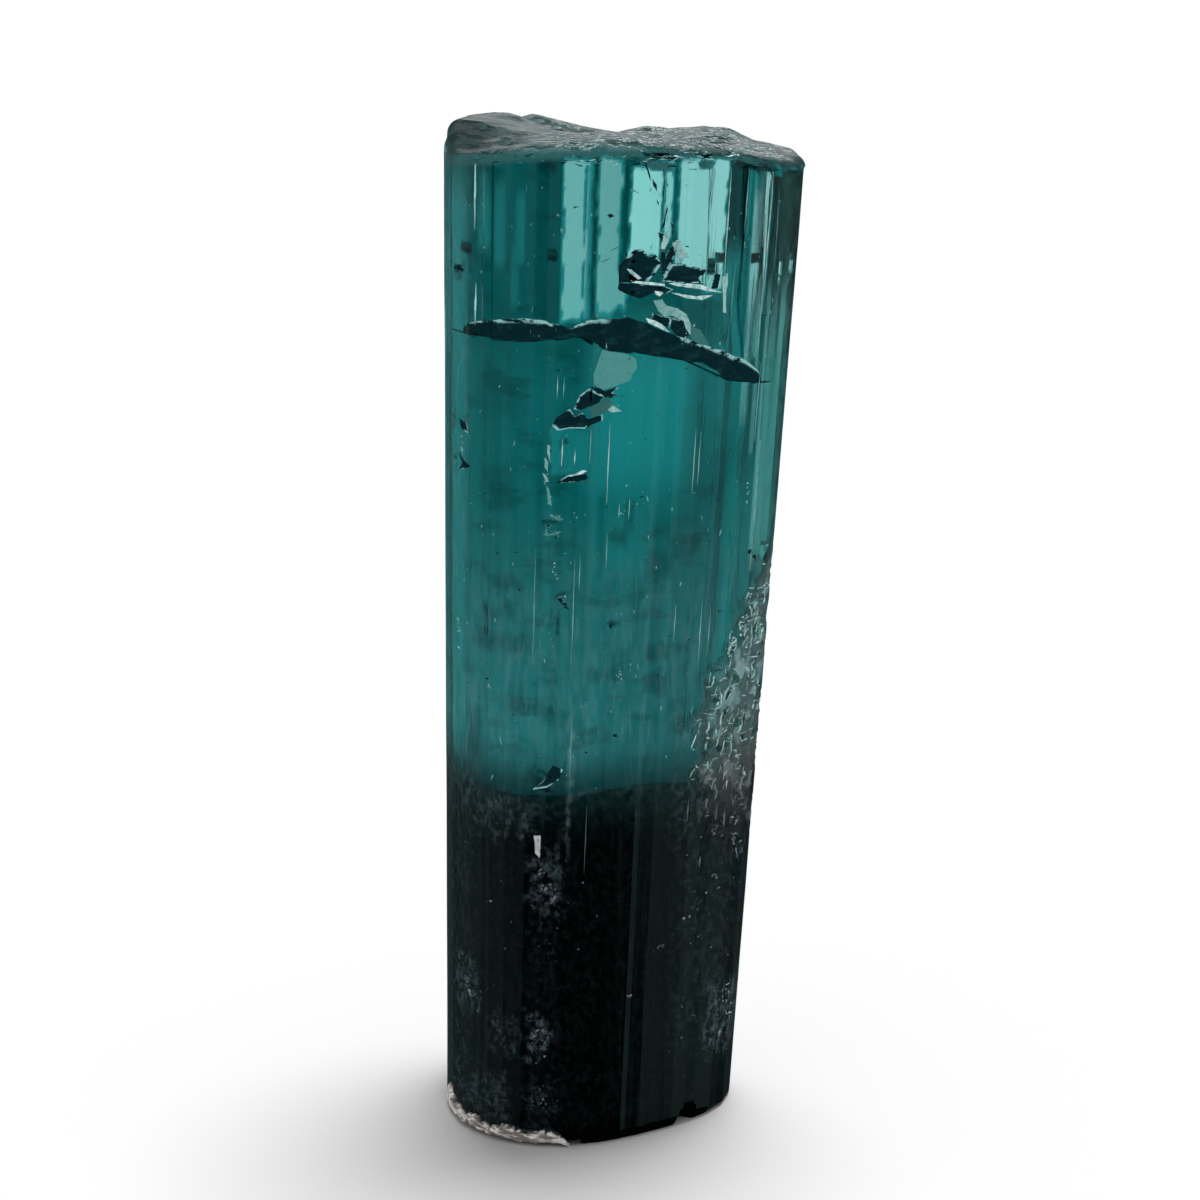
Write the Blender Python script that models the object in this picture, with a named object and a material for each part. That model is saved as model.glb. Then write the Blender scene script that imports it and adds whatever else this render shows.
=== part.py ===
"""Tourmaline crystal: one upright prism with a broken top and a cut foot, and a scrap of pale rock.

The frame is metres, +Z up, with the front towards -Y. The foot is flat at z = 0, and the middle of the
whole model's box stands on the Z axis. Every size below is in millimetres unless its name says degrees.
"""

import math

import bpy
import bmesh
from mathutils import Matrix, Vector, noise

MM = 0.001

# Prism: its section is widest at the top, and its axis leans to the left on the way down
HEIGHT = 34.7
RADIUS = 6.2
CORNER_SWELL = 0.07
CORNER_DEGREES = 6.0
FOOT_SCALE = 0.83
FOOT_SHIFT = -1.30

# Ridges: places across the front, seen from the front at the top, and how far each stands out
FRONT_RIDGES = (
    (-5.36, 0.00), (-5.02, 0.09), (-4.80, -0.05), (-4.60, 0.06), (-4.44, -0.06), (-4.28, 0.09),
    (-3.98, -0.04), (-3.66, 0.03), (-3.25, -0.06), (-2.90, 0.02), (-2.50, -0.04), (-2.13, 0.13),
    (-1.80, -0.02), (-1.47, -0.05), (-0.88, 0.08), (-0.62, -0.15), (-0.25, -0.03), (0.12, -0.08),
    (0.38, 0.10), (0.90, -0.04), (1.34, 0.04), (1.56, -0.16), (1.84, -0.12), (2.20, 0.02),
    (2.66, -0.05), (3.10, 0.00), (3.52, 0.12), (3.80, -0.06), (4.10, -0.17), (4.42, 0.02),
    (4.73, -0.05), (4.95, 0.04), (5.19, 0.13), (5.42, -0.04), (5.66, 0.02),
)
BACK_RIDGES = 46
BACK_RIDGE_HEIGHT = 0.07
BACK_UNEVENNESS = 0.42

# Main fracture: places across the front and their heights. The ridges are fainter below it
FRACTURE = ((-6.8, 28.1), (-5.1, 28.7), (-0.7, 29.4), (0.6, 29.3), (2.6, 28.2), (4.8, 26.8), (6.8, 26.2))
FRACTURE_GROOVE = 0.18
FRACTURE_HALF_WIDTH = 0.14
FRACTURE_DEGREES = (200.0, 340.0)
LOWER_RIDGE_SHARE = 0.75

# Rows of points up the side, as shares of the way to the fracture and from there to the rim
LOWER_ROWS = (0.06, 0.18, 0.32, 0.46, 0.60, 0.74, 0.88)
UPPER_ROWS = (0.25, 0.55, 0.80)

# Broken top: heights of its rim at angles from +X, and the level of its middle
TOP_RIM = (
    (-8.0, 33.74), (14.0, 34.08), (34.0, 34.20), (47.0, 34.76), (58.0, 34.78), (70.0, 34.62),
    (80.0, 34.69), (91.0, 34.42), (102.0, 34.62), (120.0, 35.09), (140.0, 35.25), (161.0, 35.22),
    (176.0, 34.80), (189.0, 34.37), (213.0, 34.48), (239.0, 34.85), (262.0, 35.00), (285.0, 34.92),
    (306.0, 34.73), (323.0, 34.18), (352.0, 33.74),
)
TOP_MIDDLE = 34.45
TOP_MIDDLE_SHARE = 0.45
TOP_LUMPS = (
    (-2.4, 1.4, 0.28, 1.5), (0.9, -0.8, -0.30, 1.8), (2.9, 1.8, 0.22, 1.3), (4.6, -1.8, -0.24, 0.9),
    (-3.4, -2.4, -0.20, 1.4),
)
TOP_ROUGHNESS = 0.14
TOP_RINGS = (0.985, 0.94, 0.87, 0.78, 0.67, 0.54, 0.40, 0.24)
RIM_ROUNDING = 0.13

# Foot: a flat cut whose rim is worn away, most of all at the front right
FOOT_RIM_HEIGHT = 0.16
FOOT_FRONT_WEAR = 0.26
FOOT_WEAR_DEGREES = (262.0, 345.0)
FOOT_INSET = 0.965

# Chips and pits: x seen from the front, z, half width, half height, depth, and lean in degrees
FRONT_CHIPS = (
    (-5.55, 30.45, 0.30, 0.19, 0.13, 20.0), (-5.72, 25.20, 0.20, 0.42, 0.12, 4.0),
    (-5.75, 23.90, 0.17, 0.20, 0.10, 0.0), (-0.30, 18.80, 0.26, 0.15, 0.12, 0.0),
    (4.95, 20.60, 0.26, 0.30, 0.16, 10.0), (-2.43, 22.30, 0.36, 0.22, 0.10, 35.0),
    (-2.10, 19.70, 0.20, 0.34, 0.10, -25.0), (-1.95, 24.60, 0.16, 0.90, 0.12, 0.0),
    (-2.70, 13.40, 0.46, 0.30, 0.14, -40.0), (-2.95, 11.00, 0.17, 0.38, 0.12, 8.0),
    (-2.90, 8.60, 0.16, 0.60, 0.09, 5.0), (-5.65, 4.90, 0.22, 0.50, 0.12, 3.0),
    (-3.20, 4.20, 0.30, 0.60, 0.12, -8.0), (3.75, 4.30, 0.20, 0.60, 0.12, 6.0),
    (2.40, 0.10, 0.62, 0.48, 0.60, 0.0), (1.25, 34.55, 0.80, 0.36, 0.34, -8.0),
    (5.25, 34.10, 0.42, 0.36, 0.50, 0.0), (0.10, 30.80, 0.60, 0.40, 0.10, -12.0),
    (1.95, 30.60, 0.75, 0.26, 0.12, 6.0),
)
ETCH_PITS = (
    (3.15, 19.3), (3.70, 18.4), (3.05, 17.2), (3.80, 16.6), (3.30, 15.7), (3.95, 15.1), (3.10, 14.6),
    (3.65, 13.9), (3.05, 13.2), (3.85, 12.8),
)
ETCH_PIT_SIZE = (0.17, 0.24, 0.09)
BACK_CHIPS = (
    (150.0, 33.9, 0.70, 0.40, 0.35, 10.0), (75.0, 30.2, 0.40, 0.55, 0.16, 15.0),
    (110.0, 17.5, 0.35, 0.80, 0.14, -6.0), (40.0, 9.0, 0.30, 0.60, 0.13, 8.0),
    (95.0, 0.2, 0.80, 0.50, 0.55, 0.0), (165.0, 12.2, 0.22, 0.45, 0.10, 0.0),
)

# Rock scrap: a strip under the front left rim of the foot, tallest at its left end
RIND_DEGREES = (190.0, 262.0)
RIND_STEPS = 26
RIND_DEPTH = 1.05
RIND_STAND_OUT = 0.10
RIND_HEIGHT = 0.42
RIND_RAGGEDNESS = 0.12
RIND_LEFT_RISE = 0.45
RIND_LEFT_SPREAD_DEGREES = 11.0
JOINT_GAP = 0.30

TOURMALINE_COLOUR = (0.010, 0.095, 0.100, 1.0)
ROCK_COLOUR = (0.60, 0.56, 0.50, 1.0)


def section_radius(degrees):
    """Distance from the middle to the smooth rounded triangle, in millimetres at full scale."""
    return RADIUS * (1.0 + CORNER_SWELL * math.cos(math.radians(3.0 * (degrees - CORNER_DEGREES))))


def section_point(degrees, stand_out=0.0):
    """Point of the section at an angle from +X, moved out by stand_out."""
    reach = section_radius(degrees) + stand_out
    angle = math.radians(degrees)
    return Vector((reach * math.cos(angle), reach * math.sin(angle)))


def section_middle():
    """Middle of the box around the smooth section."""
    points = [section_point(degrees) for degrees in range(360)]
    across = [point.x for point in points]
    deep = [point.y for point in points]
    return Vector(((min(across) + max(across)) / 2, (min(deep) + max(deep)) / 2))


MIDDLE = section_middle()
LEFT_DEGREES = 186.0
RIGHT_DEGREES = 362.0


def front_degrees(x):
    """Angle of the front point that lies x millimetres from the section's middle."""
    low, high = LEFT_DEGREES, RIGHT_DEGREES
    for _ in range(30):
        half = (low + high) / 2
        if section_point(half).x - MIDDLE.x < x:
            low = half
        else:
            high = half
    return (low + high) / 2


def ridge_lines():
    """Every ridge down the prism as an angle in degrees and the distance it stands out, in order."""
    ridges = [(front_degrees(x), stand_out) for x, stand_out in FRONT_RIDGES]
    start = ridges[-1][0]
    span = ridges[0][0] + 360.0 - start
    for index in range(1, BACK_RIDGES):
        place = index + BACK_UNEVENNESS * math.sin(2.4 * index)
        stand_out = BACK_RIDGE_HEIGHT * math.sin(2.2 * index)
        ridges.append((start + span * place / BACK_RIDGES, stand_out))
    return ridges


def taper(z):
    """Scale of the section and sideways shift of its middle at height z."""
    down = 1.0 - z / HEIGHT
    return 1.0 - (1.0 - FOOT_SCALE) * down, FOOT_SHIFT * down


def side_point(degrees, z, stand_out=0.0):
    """Point on the prism's side at an angle and a height."""
    scale, shift = taper(z)
    flat = (section_point(degrees, stand_out) - MIDDLE) * scale
    return Vector((flat.x + shift, flat.y, z))


def between(points, place):
    """Value at a place along a list of (place, value) points in rising order."""
    for (start, first), (end, last) in zip(points, points[1:]):
        if start <= place <= end:
            return first + (last - first) * (place - start) / (end - start)
    return points[0][1]


def fracture_height(degrees):
    """Height at which the main fracture meets the side."""
    return between(FRACTURE, (section_point(degrees) - MIDDLE).x)


def groove_depth(degrees):
    """Depth of the main fracture's groove, which the back of the prism doesn't have."""
    start, end = FRACTURE_DEGREES
    return FRACTURE_GROOVE if start <= degrees % 360.0 <= end else 0.0


def smooth_step(share):
    """Ease from 0 to 1."""
    share = min(max(share, 0.0), 1.0)
    return share * share * (3.0 - 2.0 * share)


def top_height(x, y):
    """Height of the broken top above a point."""
    degrees = math.degrees(math.atan2(y, x))
    if degrees < TOP_RIM[0][0]:
        degrees += 360.0
    rim = between(TOP_RIM, degrees)
    outward = smooth_step((math.hypot(x, y) / RADIUS - TOP_MIDDLE_SHARE) / (1.0 - TOP_MIDDLE_SHARE))
    height = TOP_MIDDLE + (rim - TOP_MIDDLE) * outward
    for lump_x, lump_y, rise, spread in TOP_LUMPS:
        distance = math.hypot(x - lump_x, y - lump_y)
        height += rise * math.exp(-((distance / spread) ** 2))
    return height + TOP_ROUGHNESS * noise.noise(Vector((0.9 * x, 0.9 * y, 2.0)))


def foot_wear(degrees):
    """Height of the worn rim at the foot."""
    start, end = FOOT_WEAR_DEGREES
    inside = max(0.0, min(1.0, (degrees - start) / 15.0, (end - degrees) / 15.0))
    ripple = 0.5 + 0.5 * math.sin(degrees * 0.35)
    return FOOT_RIM_HEIGHT * (0.6 + 0.4 * ripple) + FOOT_FRONT_WEAR * inside


def column(degrees, stand_out):
    """Points of one ridge line from the middle of the foot up to the last ring of the top."""
    crack = fracture_height(degrees)
    rim = side_point(degrees, HEIGHT, stand_out)
    rim_height = top_height(rim.x, rim.y) - RIM_ROUNDING
    faint = stand_out * LOWER_RIDGE_SHARE
    lowest = foot_wear(degrees % 360.0)
    foot = side_point(degrees, 0.0, faint)
    middle = Vector((FOOT_SHIFT, 0.0, 0.0))
    points = [middle.lerp(foot, FOOT_INSET), side_point(degrees, lowest, faint)]
    points += [side_point(degrees, share * crack, faint) for share in LOWER_ROWS]
    points.append(side_point(degrees, crack - FRACTURE_HALF_WIDTH, faint))
    points.append(side_point(degrees, crack, faint - groove_depth(degrees)))
    points.append(side_point(degrees, crack + FRACTURE_HALF_WIDTH, stand_out))
    rise = rim_height - crack
    points += [side_point(degrees, crack + share * rise, stand_out) for share in UPPER_ROWS]
    points.append(Vector((rim.x, rim.y, rim_height)))
    for share in TOP_RINGS:
        x, y = rim.x * share, rim.y * share
        points.append(Vector((x, y, top_height(x, y))))
    return points


def mesh_from_columns(name, columns, caps):
    """Closed skin through neighbouring columns of points, with caps(mesh, rings) closing its two ends."""
    bm = bmesh.new()
    rings = [[bm.verts.new(point * MM) for point in row] for row in zip(*columns)]
    count = len(columns)
    for lower, upper in zip(rings, rings[1:]):
        for index in range(count):
            following = (index + 1) % count
            bm.faces.new((lower[index], lower[following], upper[following], upper[index]))
    caps(bm, rings)
    bmesh.ops.recalc_face_normals(bm, faces=bm.faces[:])
    mesh = bpy.data.meshes.new(name)
    bm.to_mesh(mesh)
    bm.free()
    return mesh


def crystal_caps(bm, rings):
    """Flat foot, and a fan of faces over the middle of the top."""
    bm.faces.new(list(reversed(rings[0])))
    peak = bm.verts.new(Vector((0.0, 0.0, TOP_MIDDLE)) * MM)
    last = rings[-1]
    for index, vertex in enumerate(last):
        bm.faces.new((vertex, last[(index + 1) % len(last)], peak))


def make_object(name, mesh):
    """Object for a mesh, linked to the scene."""
    made = bpy.data.objects.new(name, mesh)
    bpy.context.scene.collection.objects.link(made)
    return made


def material(name, colour, roughness):
    """Principled material with one colour."""
    made = bpy.data.materials.new(name)
    made.use_nodes = True
    shader = made.node_tree.nodes["Principled BSDF"]
    shader.inputs["Base Color"].default_value = colour
    shader.inputs["Roughness"].default_value = roughness
    shader.inputs["Metallic"].default_value = 0.0
    return made


def chip_matrix(degrees, chip):
    """Place, turn and scale of a chip's cutter, sunk into the side by the chip's depth."""
    _, z, half_width, half_height, depth, lean = chip
    thickness = max(depth, 0.6 * half_width) + 0.05
    surface = side_point(degrees, z)
    ahead = side_point(degrees + 1.0, z) - side_point(degrees - 1.0, z)
    outward = Vector((ahead.y, -ahead.x, 0.0)).normalized()
    centre = (surface + outward * (thickness - depth)) * MM
    facing = Matrix.Rotation(math.atan2(outward.y, outward.x) + math.pi / 2, 4, "Z")
    leaning = Matrix.Rotation(math.radians(lean), 4, "Y")
    size = Matrix.Diagonal((half_width * MM, thickness * MM, half_height * MM, 1.0))
    return Matrix.Translation(centre) @ facing @ leaning @ size


def chip_placements():
    """Angle and chip for every chip and pit."""
    width, height, depth = ETCH_PIT_SIZE
    pits = [(x, z, width, height, depth, 25.0 * index) for index, (x, z) in enumerate(ETCH_PITS)]
    for chip in list(FRONT_CHIPS) + pits:
        scale, shift = taper(chip[1])
        yield front_degrees((chip[0] - shift) / scale), chip
    for chip in BACK_CHIPS:
        yield chip[0], chip


def chips_cutter():
    """One hidden cutter that holds an angular block for every chip and pit."""
    bm = bmesh.new()
    for degrees, chip in chip_placements():
        block = bmesh.ops.create_icosphere(bm, subdivisions=1, radius=1.0)
        bmesh.ops.transform(bm, matrix=chip_matrix(degrees, chip), verts=block["verts"])
    mesh = bpy.data.meshes.new("chips_cutter")
    bm.to_mesh(mesh)
    bm.free()
    return hidden(make_object("chips_cutter", mesh))


def hidden(cutter):
    """Mark an object as a cutter."""
    cutter.hide_render = True
    cutter.display_type = "WIRE"
    return cutter


def rind_top(degrees):
    """Height of the rock scrap's torn top edge."""
    start, end = RIND_DEGREES
    left_rise = RIND_LEFT_RISE * math.exp(-(((degrees - start) / RIND_LEFT_SPREAD_DEGREES) ** 2))
    torn = math.sin(0.9 * degrees) + 0.6 * math.sin(2.3 * degrees)
    fade = min(1.0, (end - degrees) / 12.0 + 0.35)
    return (RIND_HEIGHT + RIND_RAGGEDNESS * torn) * fade + left_rise


def rind_columns(gap, reach, drop):
    """Corner points of the rock scrap's sections, grown by gap inward and upward."""
    start, end = RIND_DEGREES
    spread = math.degrees(gap / (RADIUS * FOOT_SCALE))
    start, end = start - spread, end + spread
    for index in range(RIND_STEPS + 1):
        degrees = start + (end - start) * index / RIND_STEPS
        within = min(max(degrees, RIND_DEGREES[0]), RIND_DEGREES[1])
        top = rind_top(within) + gap
        torn = RIND_RAGGEDNESS * math.sin(1.7 * degrees)
        inner_low = side_point(degrees, 0.0, -RIND_DEPTH - torn - gap)
        outer_low = side_point(degrees, 0.0, reach)
        outer_high = side_point(degrees, top, reach)
        inner_high = side_point(degrees, top, -0.55 * RIND_DEPTH - torn - gap)
        inner_low.z = outer_low.z = -drop
        yield [inner_low, outer_low, outer_high, inner_high]


def rind_mesh(name, gap, reach, drop):
    """Closed strip that follows the foot's rim, with a flat end at each side."""
    sections = list(zip(*rind_columns(gap, reach, drop)))

    def ends(bm, rings):
        bm.faces.new([ring for ring in rings[0]])
        bm.faces.new([ring for ring in reversed(rings[-1])])

    return mesh_from_columns(name, sections, ends)


def make_crystal():
    """The prism, cut by its chips and by the room for the rock scrap."""
    columns = [column(degrees, stand_out) for degrees, stand_out in ridge_lines()]
    crystal = make_object("crystal", mesh_from_columns("crystal", columns, crystal_caps))
    crystal.data.materials.append(material("tourmaline", TOURMALINE_COLOUR, 0.12))
    room = hidden(make_object("rind_room", rind_mesh("rind_room", JOINT_GAP, 1.5, 1.0)))
    for cutter in (room, chips_cutter()):
        cut = crystal.modifiers.new(cutter.name, "BOOLEAN")
        cut.operation = "DIFFERENCE"
        cut.solver = "EXACT"
        cut.object = cutter
    return crystal


def make_rind():
    """The pale rock scrap under the front left rim."""
    rind = make_object("matrix_rind", rind_mesh("matrix_rind", 0.0, RIND_STAND_OUT, 0.0))
    rind.data.materials.append(material("pale_rock", ROCK_COLOUR, 0.85))
    return rind


def centre_on_axis(pieces):
    """Hang every object from an empty that brings the middle of their box over the origin."""
    corners = [vertex.co for piece in pieces for vertex in piece.data.vertices]
    across = [corner.x for corner in corners]
    deep = [corner.y for corner in corners]
    stand = bpy.data.objects.new("stand", None)
    bpy.context.scene.collection.objects.link(stand)
    stand.location = (-(min(across) + max(across)) / 2, -(min(deep) + max(deep)) / 2, 0.0)
    for item in bpy.context.scene.collection.objects:
        if item.type == "MESH":
            item.parent = stand


def main():
    """Build the crystal and its rock scrap in an empty scene."""
    for item in list(bpy.data.objects):
        bpy.data.objects.remove(item, do_unlink=True)
    centre_on_axis([make_crystal(), make_rind()])


main()
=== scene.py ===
"""Looks of the tourmaline crystal: its ridged see-through skin, the cracks inside it, and its pale foot.

The frame is metres, +Z up, with the front towards -Y. Sizes in the classes are in millimetres unless
their names say degrees, and MM turns them into metres when a mesh is made.
"""

import logging
import math
import random
from dataclasses import dataclass, field, replace
from enum import Enum
from typing import Iterable

import bpy
import numpy as np
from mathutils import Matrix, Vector, noise
from mathutils.bvhtree import BVHTree


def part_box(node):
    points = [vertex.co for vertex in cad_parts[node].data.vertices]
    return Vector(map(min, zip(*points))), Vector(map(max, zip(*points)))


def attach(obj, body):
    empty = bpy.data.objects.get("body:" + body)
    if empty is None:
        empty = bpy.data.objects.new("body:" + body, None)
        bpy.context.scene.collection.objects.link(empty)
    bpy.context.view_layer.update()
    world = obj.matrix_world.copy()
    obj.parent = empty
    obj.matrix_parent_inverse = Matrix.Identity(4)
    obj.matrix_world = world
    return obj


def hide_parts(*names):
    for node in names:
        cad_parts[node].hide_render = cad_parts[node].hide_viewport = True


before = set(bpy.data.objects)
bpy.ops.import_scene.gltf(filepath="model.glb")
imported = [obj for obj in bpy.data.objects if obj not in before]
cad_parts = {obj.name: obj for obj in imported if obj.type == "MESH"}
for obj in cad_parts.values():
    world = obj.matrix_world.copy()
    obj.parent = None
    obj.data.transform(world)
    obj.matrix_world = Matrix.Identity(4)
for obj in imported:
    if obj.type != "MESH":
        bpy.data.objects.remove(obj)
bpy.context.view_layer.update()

MM = 0.001
NOISE_SEED = 1
BODY = "root"
LOG = logging.getLogger("tourmaline")

Pair = tuple[float, float]
Column = tuple[int, int, float]
Layer = tuple[float, float, float]
Ramp = tuple[float, float, float, float]
Colour = tuple[float, float, float, float]


class Slot(Enum):
    """Material slots of the record."""

    TOURMALINE = "tourmaline"
    ROCK = "pale_rock"


def between(points: Iterable[Pair], place: float) -> float:
    """Read a value along a list of points.

    Args:
        points: (place, value) pairs in rising order of place.
        place: Where to read.

    Returns:
        The value there, or the nearest end's value outside the list.
    """
    listed = list(points)
    if place <= listed[0][0]:
        return listed[0][1]
    for (start, first), (end, last) in zip(listed, listed[1:]):
        if place <= end:
            return first + (last - first) * (place - start) / (end - start)
    return listed[-1][1]


def smooth_step(share: float) -> float:
    """Ease a share from 0 to 1."""
    share = min(max(share, 0.0), 1.0)
    return share * share * (3.0 - 2.0 * share)


def rise_over(place: float, span: Pair) -> float:
    """Ease from 0 at the start of a span to 1 at its end."""
    low, high = span
    return smooth_step((place - low) / (high - low))


def tear_along(place: float, layers: tuple[Layer, ...]) -> float:
    """Ragged value along a line.

    Args:
        place: Where to read.
        layers: Rate, seed and strength of each layer of noise.

    Returns:
        The sum of the layers there, about 0.
    """
    return sum(strength * noise.noise(Vector((rate * place, 0.0, seed))) for rate, seed, strength in layers)


def only(piece: bpy.types.Object) -> None:
    """Select one object alone and make it the active one."""
    bpy.ops.object.select_all(action="DESELECT")
    piece.select_set(True)
    bpy.context.view_layer.objects.active = piece


def apply_modifier(piece: bpy.types.Object, kind: str, **values: object) -> None:
    """Add a modifier with the given values and apply it.

    Args:
        piece: Object that takes the modifier.
        kind: Blender's name for the modifier type.
        **values: Settings of the modifier.
    """
    only(piece)
    modifier = piece.modifiers.new(kind.title(), kind)
    for key, value in values.items():
        setattr(modifier, key, value)
    bpy.ops.object.modifier_apply(modifier=modifier.name)


def close_mesh(merge: float) -> None:
    """Merge the doubled points of the active mesh, fill its open ends and point its faces outwards.

    Args:
        merge: Distance under which points are merged, in millimetres.
    """
    bpy.ops.object.mode_set(mode="EDIT")
    bpy.ops.mesh.select_mode(type="VERT")
    bpy.ops.mesh.select_all(action="SELECT")
    bpy.ops.mesh.remove_doubles(threshold=merge * MM)
    bpy.ops.mesh.select_all(action="DESELECT")
    bpy.ops.mesh.select_non_manifold()
    bpy.ops.mesh.edge_face_add()
    bpy.ops.mesh.select_all(action="SELECT")
    bpy.ops.mesh.normals_make_consistent(inside=False)
    bpy.ops.object.mode_set(mode="OBJECT")


def new_attribute(piece: bpy.types.Object, name: str) -> bpy.types.Attribute:
    """Add an attribute that keeps one number for each point of a piece."""
    return piece.data.attributes.new(name, "FLOAT", "POINT")


def ride_with(piece: bpy.types.Object, slot: Slot, *nodes: str) -> bpy.types.Object:
    """Make a finished piece ride on the crystal's body.

    Args:
        piece: Finished object.
        slot: Material slot of the record that it stands for; not used.
        *nodes: CAD nodes that it stands for, if any.

    Returns:
        The same object.
    """
    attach(piece, BODY)
    if nodes:
        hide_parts(*nodes)
    LOG.info("%s: %d faces", piece.name, len(piece.data.polygons))
    return piece


@dataclass(frozen=True)
class Prism:
    """Form of the crystal: a rounded triangular section that shrinks and leans on its way down."""

    height: float = 34.7
    radius: float = 6.2
    corner_swell: float = 0.07
    corner_degrees: float = 6.0
    foot_scale: float = 0.83
    foot_shift: float = -1.30
    left_degrees: float = 186.0
    right_degrees: float = 362.0
    front_ridges: tuple[Pair, ...] = (
        (-5.36, 0.00), (-5.02, 0.09), (-4.80, -0.05), (-4.60, 0.06), (-4.44, -0.06), (-4.28, 0.09),
        (-3.98, -0.04), (-3.66, 0.03), (-3.25, -0.06), (-2.90, 0.02), (-2.50, -0.04), (-2.13, 0.13),
        (-1.80, -0.02), (-1.47, -0.05), (-0.88, 0.08), (-0.62, -0.15), (-0.25, -0.03), (0.12, -0.08),
        (0.38, 0.08), (1.34, 0.04), (1.56, -0.14), (1.84, -0.10), (2.10, 0.02), (3.52, 0.08), (3.80, -0.06),
        (4.10, -0.17), (4.42, 0.02), (4.82, -0.02), (5.19, 0.10), (5.50, 0.00),
    )
    back_ridges: int = 46
    back_ridge_height: float = 0.045
    back_unevenness: float = 0.42
    lower_ridge_share: float = 0.60
    fracture: tuple[Pair, ...] = (
        (-6.8, 28.3), (-5.1, 28.45), (-3.4, 28.55), (-1.2, 28.75), (-0.3, 28.45), (0.8, 28.05), (2.3, 27.70),
        (3.9, 26.85), (5.3, 26.55), (6.8, 26.4),
    )
    fracture_groove: float = 0.02
    fracture_half_width: float = 0.06
    fracture_degrees: Pair = (200.0, 340.0)
    top_rim: tuple[Pair, ...] = (
        (-8.0, 34.08), (14.0, 34.26), (34.0, 34.34), (47.0, 34.76), (58.0, 34.78), (70.0, 34.62),
        (80.0, 34.69), (91.0, 34.42), (102.0, 34.62), (120.0, 35.12), (126.0, 34.98), (132.0, 35.25),
        (140.0, 35.25), (161.0, 35.22), (176.0, 34.80), (189.0, 34.37), (213.0, 34.56), (239.0, 34.98),
        (262.0, 35.14), (285.0, 35.08), (306.0, 34.92), (323.0, 34.48), (352.0, 34.08),
    )
    top_middle: float = 34.45
    top_middle_share: float = 0.45
    top_lumps: tuple[tuple[float, float, float, float], ...] = (
        (-2.4, 1.4, 0.28, 1.5), (0.9, -0.8, -0.30, 1.8), (2.9, 1.8, 0.22, 1.3), (4.6, -1.8, -0.24, 0.9),
        (-3.4, -2.4, -0.20, 1.4),
    )
    rim_rounding: float = 0.54
    rim_width: float = 0.50
    front_rim_width: float = 1.50
    front_rim_degrees: Pair = (214.0, 322.0)
    front_rim_fade: float = 24.0
    foot_rim_height: float = 0.16
    foot_front_wear: float = 0.26
    foot_wear_degrees: Pair = (262.0, 345.0)
    foot_wear_fade: float = 15.0
    foot_layers: tuple[Layer, ...] = ((0.21, 3.0, 1.0),)
    foot_inset: float = 0.965
    rind_degrees: Pair = (190.0, 267.0)
    rind_depth: float = 1.05
    rind_height: float = 0.56
    rind_raggedness: float = 0.20
    rind_left_rise: float = 0.45
    rind_left_spread: float = 11.0
    rind_layers: tuple[Layer, ...] = ((0.13, 1.0, 1.0), (0.5, 2.0, 0.5))
    rind_end_share: float = 0.22
    rind_end_fade: float = 7.0
    rind_foot_fade: float = 5.0
    rind_gap: float = 0.09

    def section_point(self, degrees: float, stand_out: float = 0.0) -> Vector:
        """Point of the section at an angle from +X, moved out by stand_out."""
        angle = math.radians(degrees)
        swell = self.corner_swell * math.cos(3.0 * math.radians(degrees - self.corner_degrees))
        reach = self.radius * (1.0 + swell) + stand_out
        return Vector((reach * math.cos(angle), reach * math.sin(angle)))

    def middle(self) -> Vector:
        """Middle of the box around the smooth section."""
        points = [self.section_point(degrees) for degrees in range(360)]
        across = [point.x for point in points]
        deep = [point.y for point in points]
        return Vector(((min(across) + max(across)) / 2, (min(deep) + max(deep)) / 2))

    def taper(self, z: float) -> Pair:
        """Scale of the section and sideways shift of its middle at height z."""
        down = 1.0 - z / self.height
        return 1.0 - (1.0 - self.foot_scale) * down, self.foot_shift * down


@dataclass(frozen=True)
class Mark:
    """Upright patch on the front: its sides and ends on the untapered prism, its strength and its edges."""

    left: float
    right: float
    low: float
    high: float
    strength: float = 1.0
    side_blur: float = 0.07
    end_blur: float = 0.20
    ragged: float = 0.0

    def strength_at(self, across: float | np.ndarray, height: float | np.ndarray) -> float | np.ndarray:
        """Strength of the mark at a place, which fades out over its soft edges."""
        sides = np.minimum(across - self.left, self.right - across) / self.side_blur + 0.5
        ends = np.minimum(height - self.low, self.high - height) / self.end_blur + 0.5
        sides, ends = np.clip(sides, 0.0, 1.0), np.clip(ends, 0.0, 1.0)
        return self.strength * sides * sides * (3.0 - 2.0 * sides) * ends * ends * (3.0 - 2.0 * ends)


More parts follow.
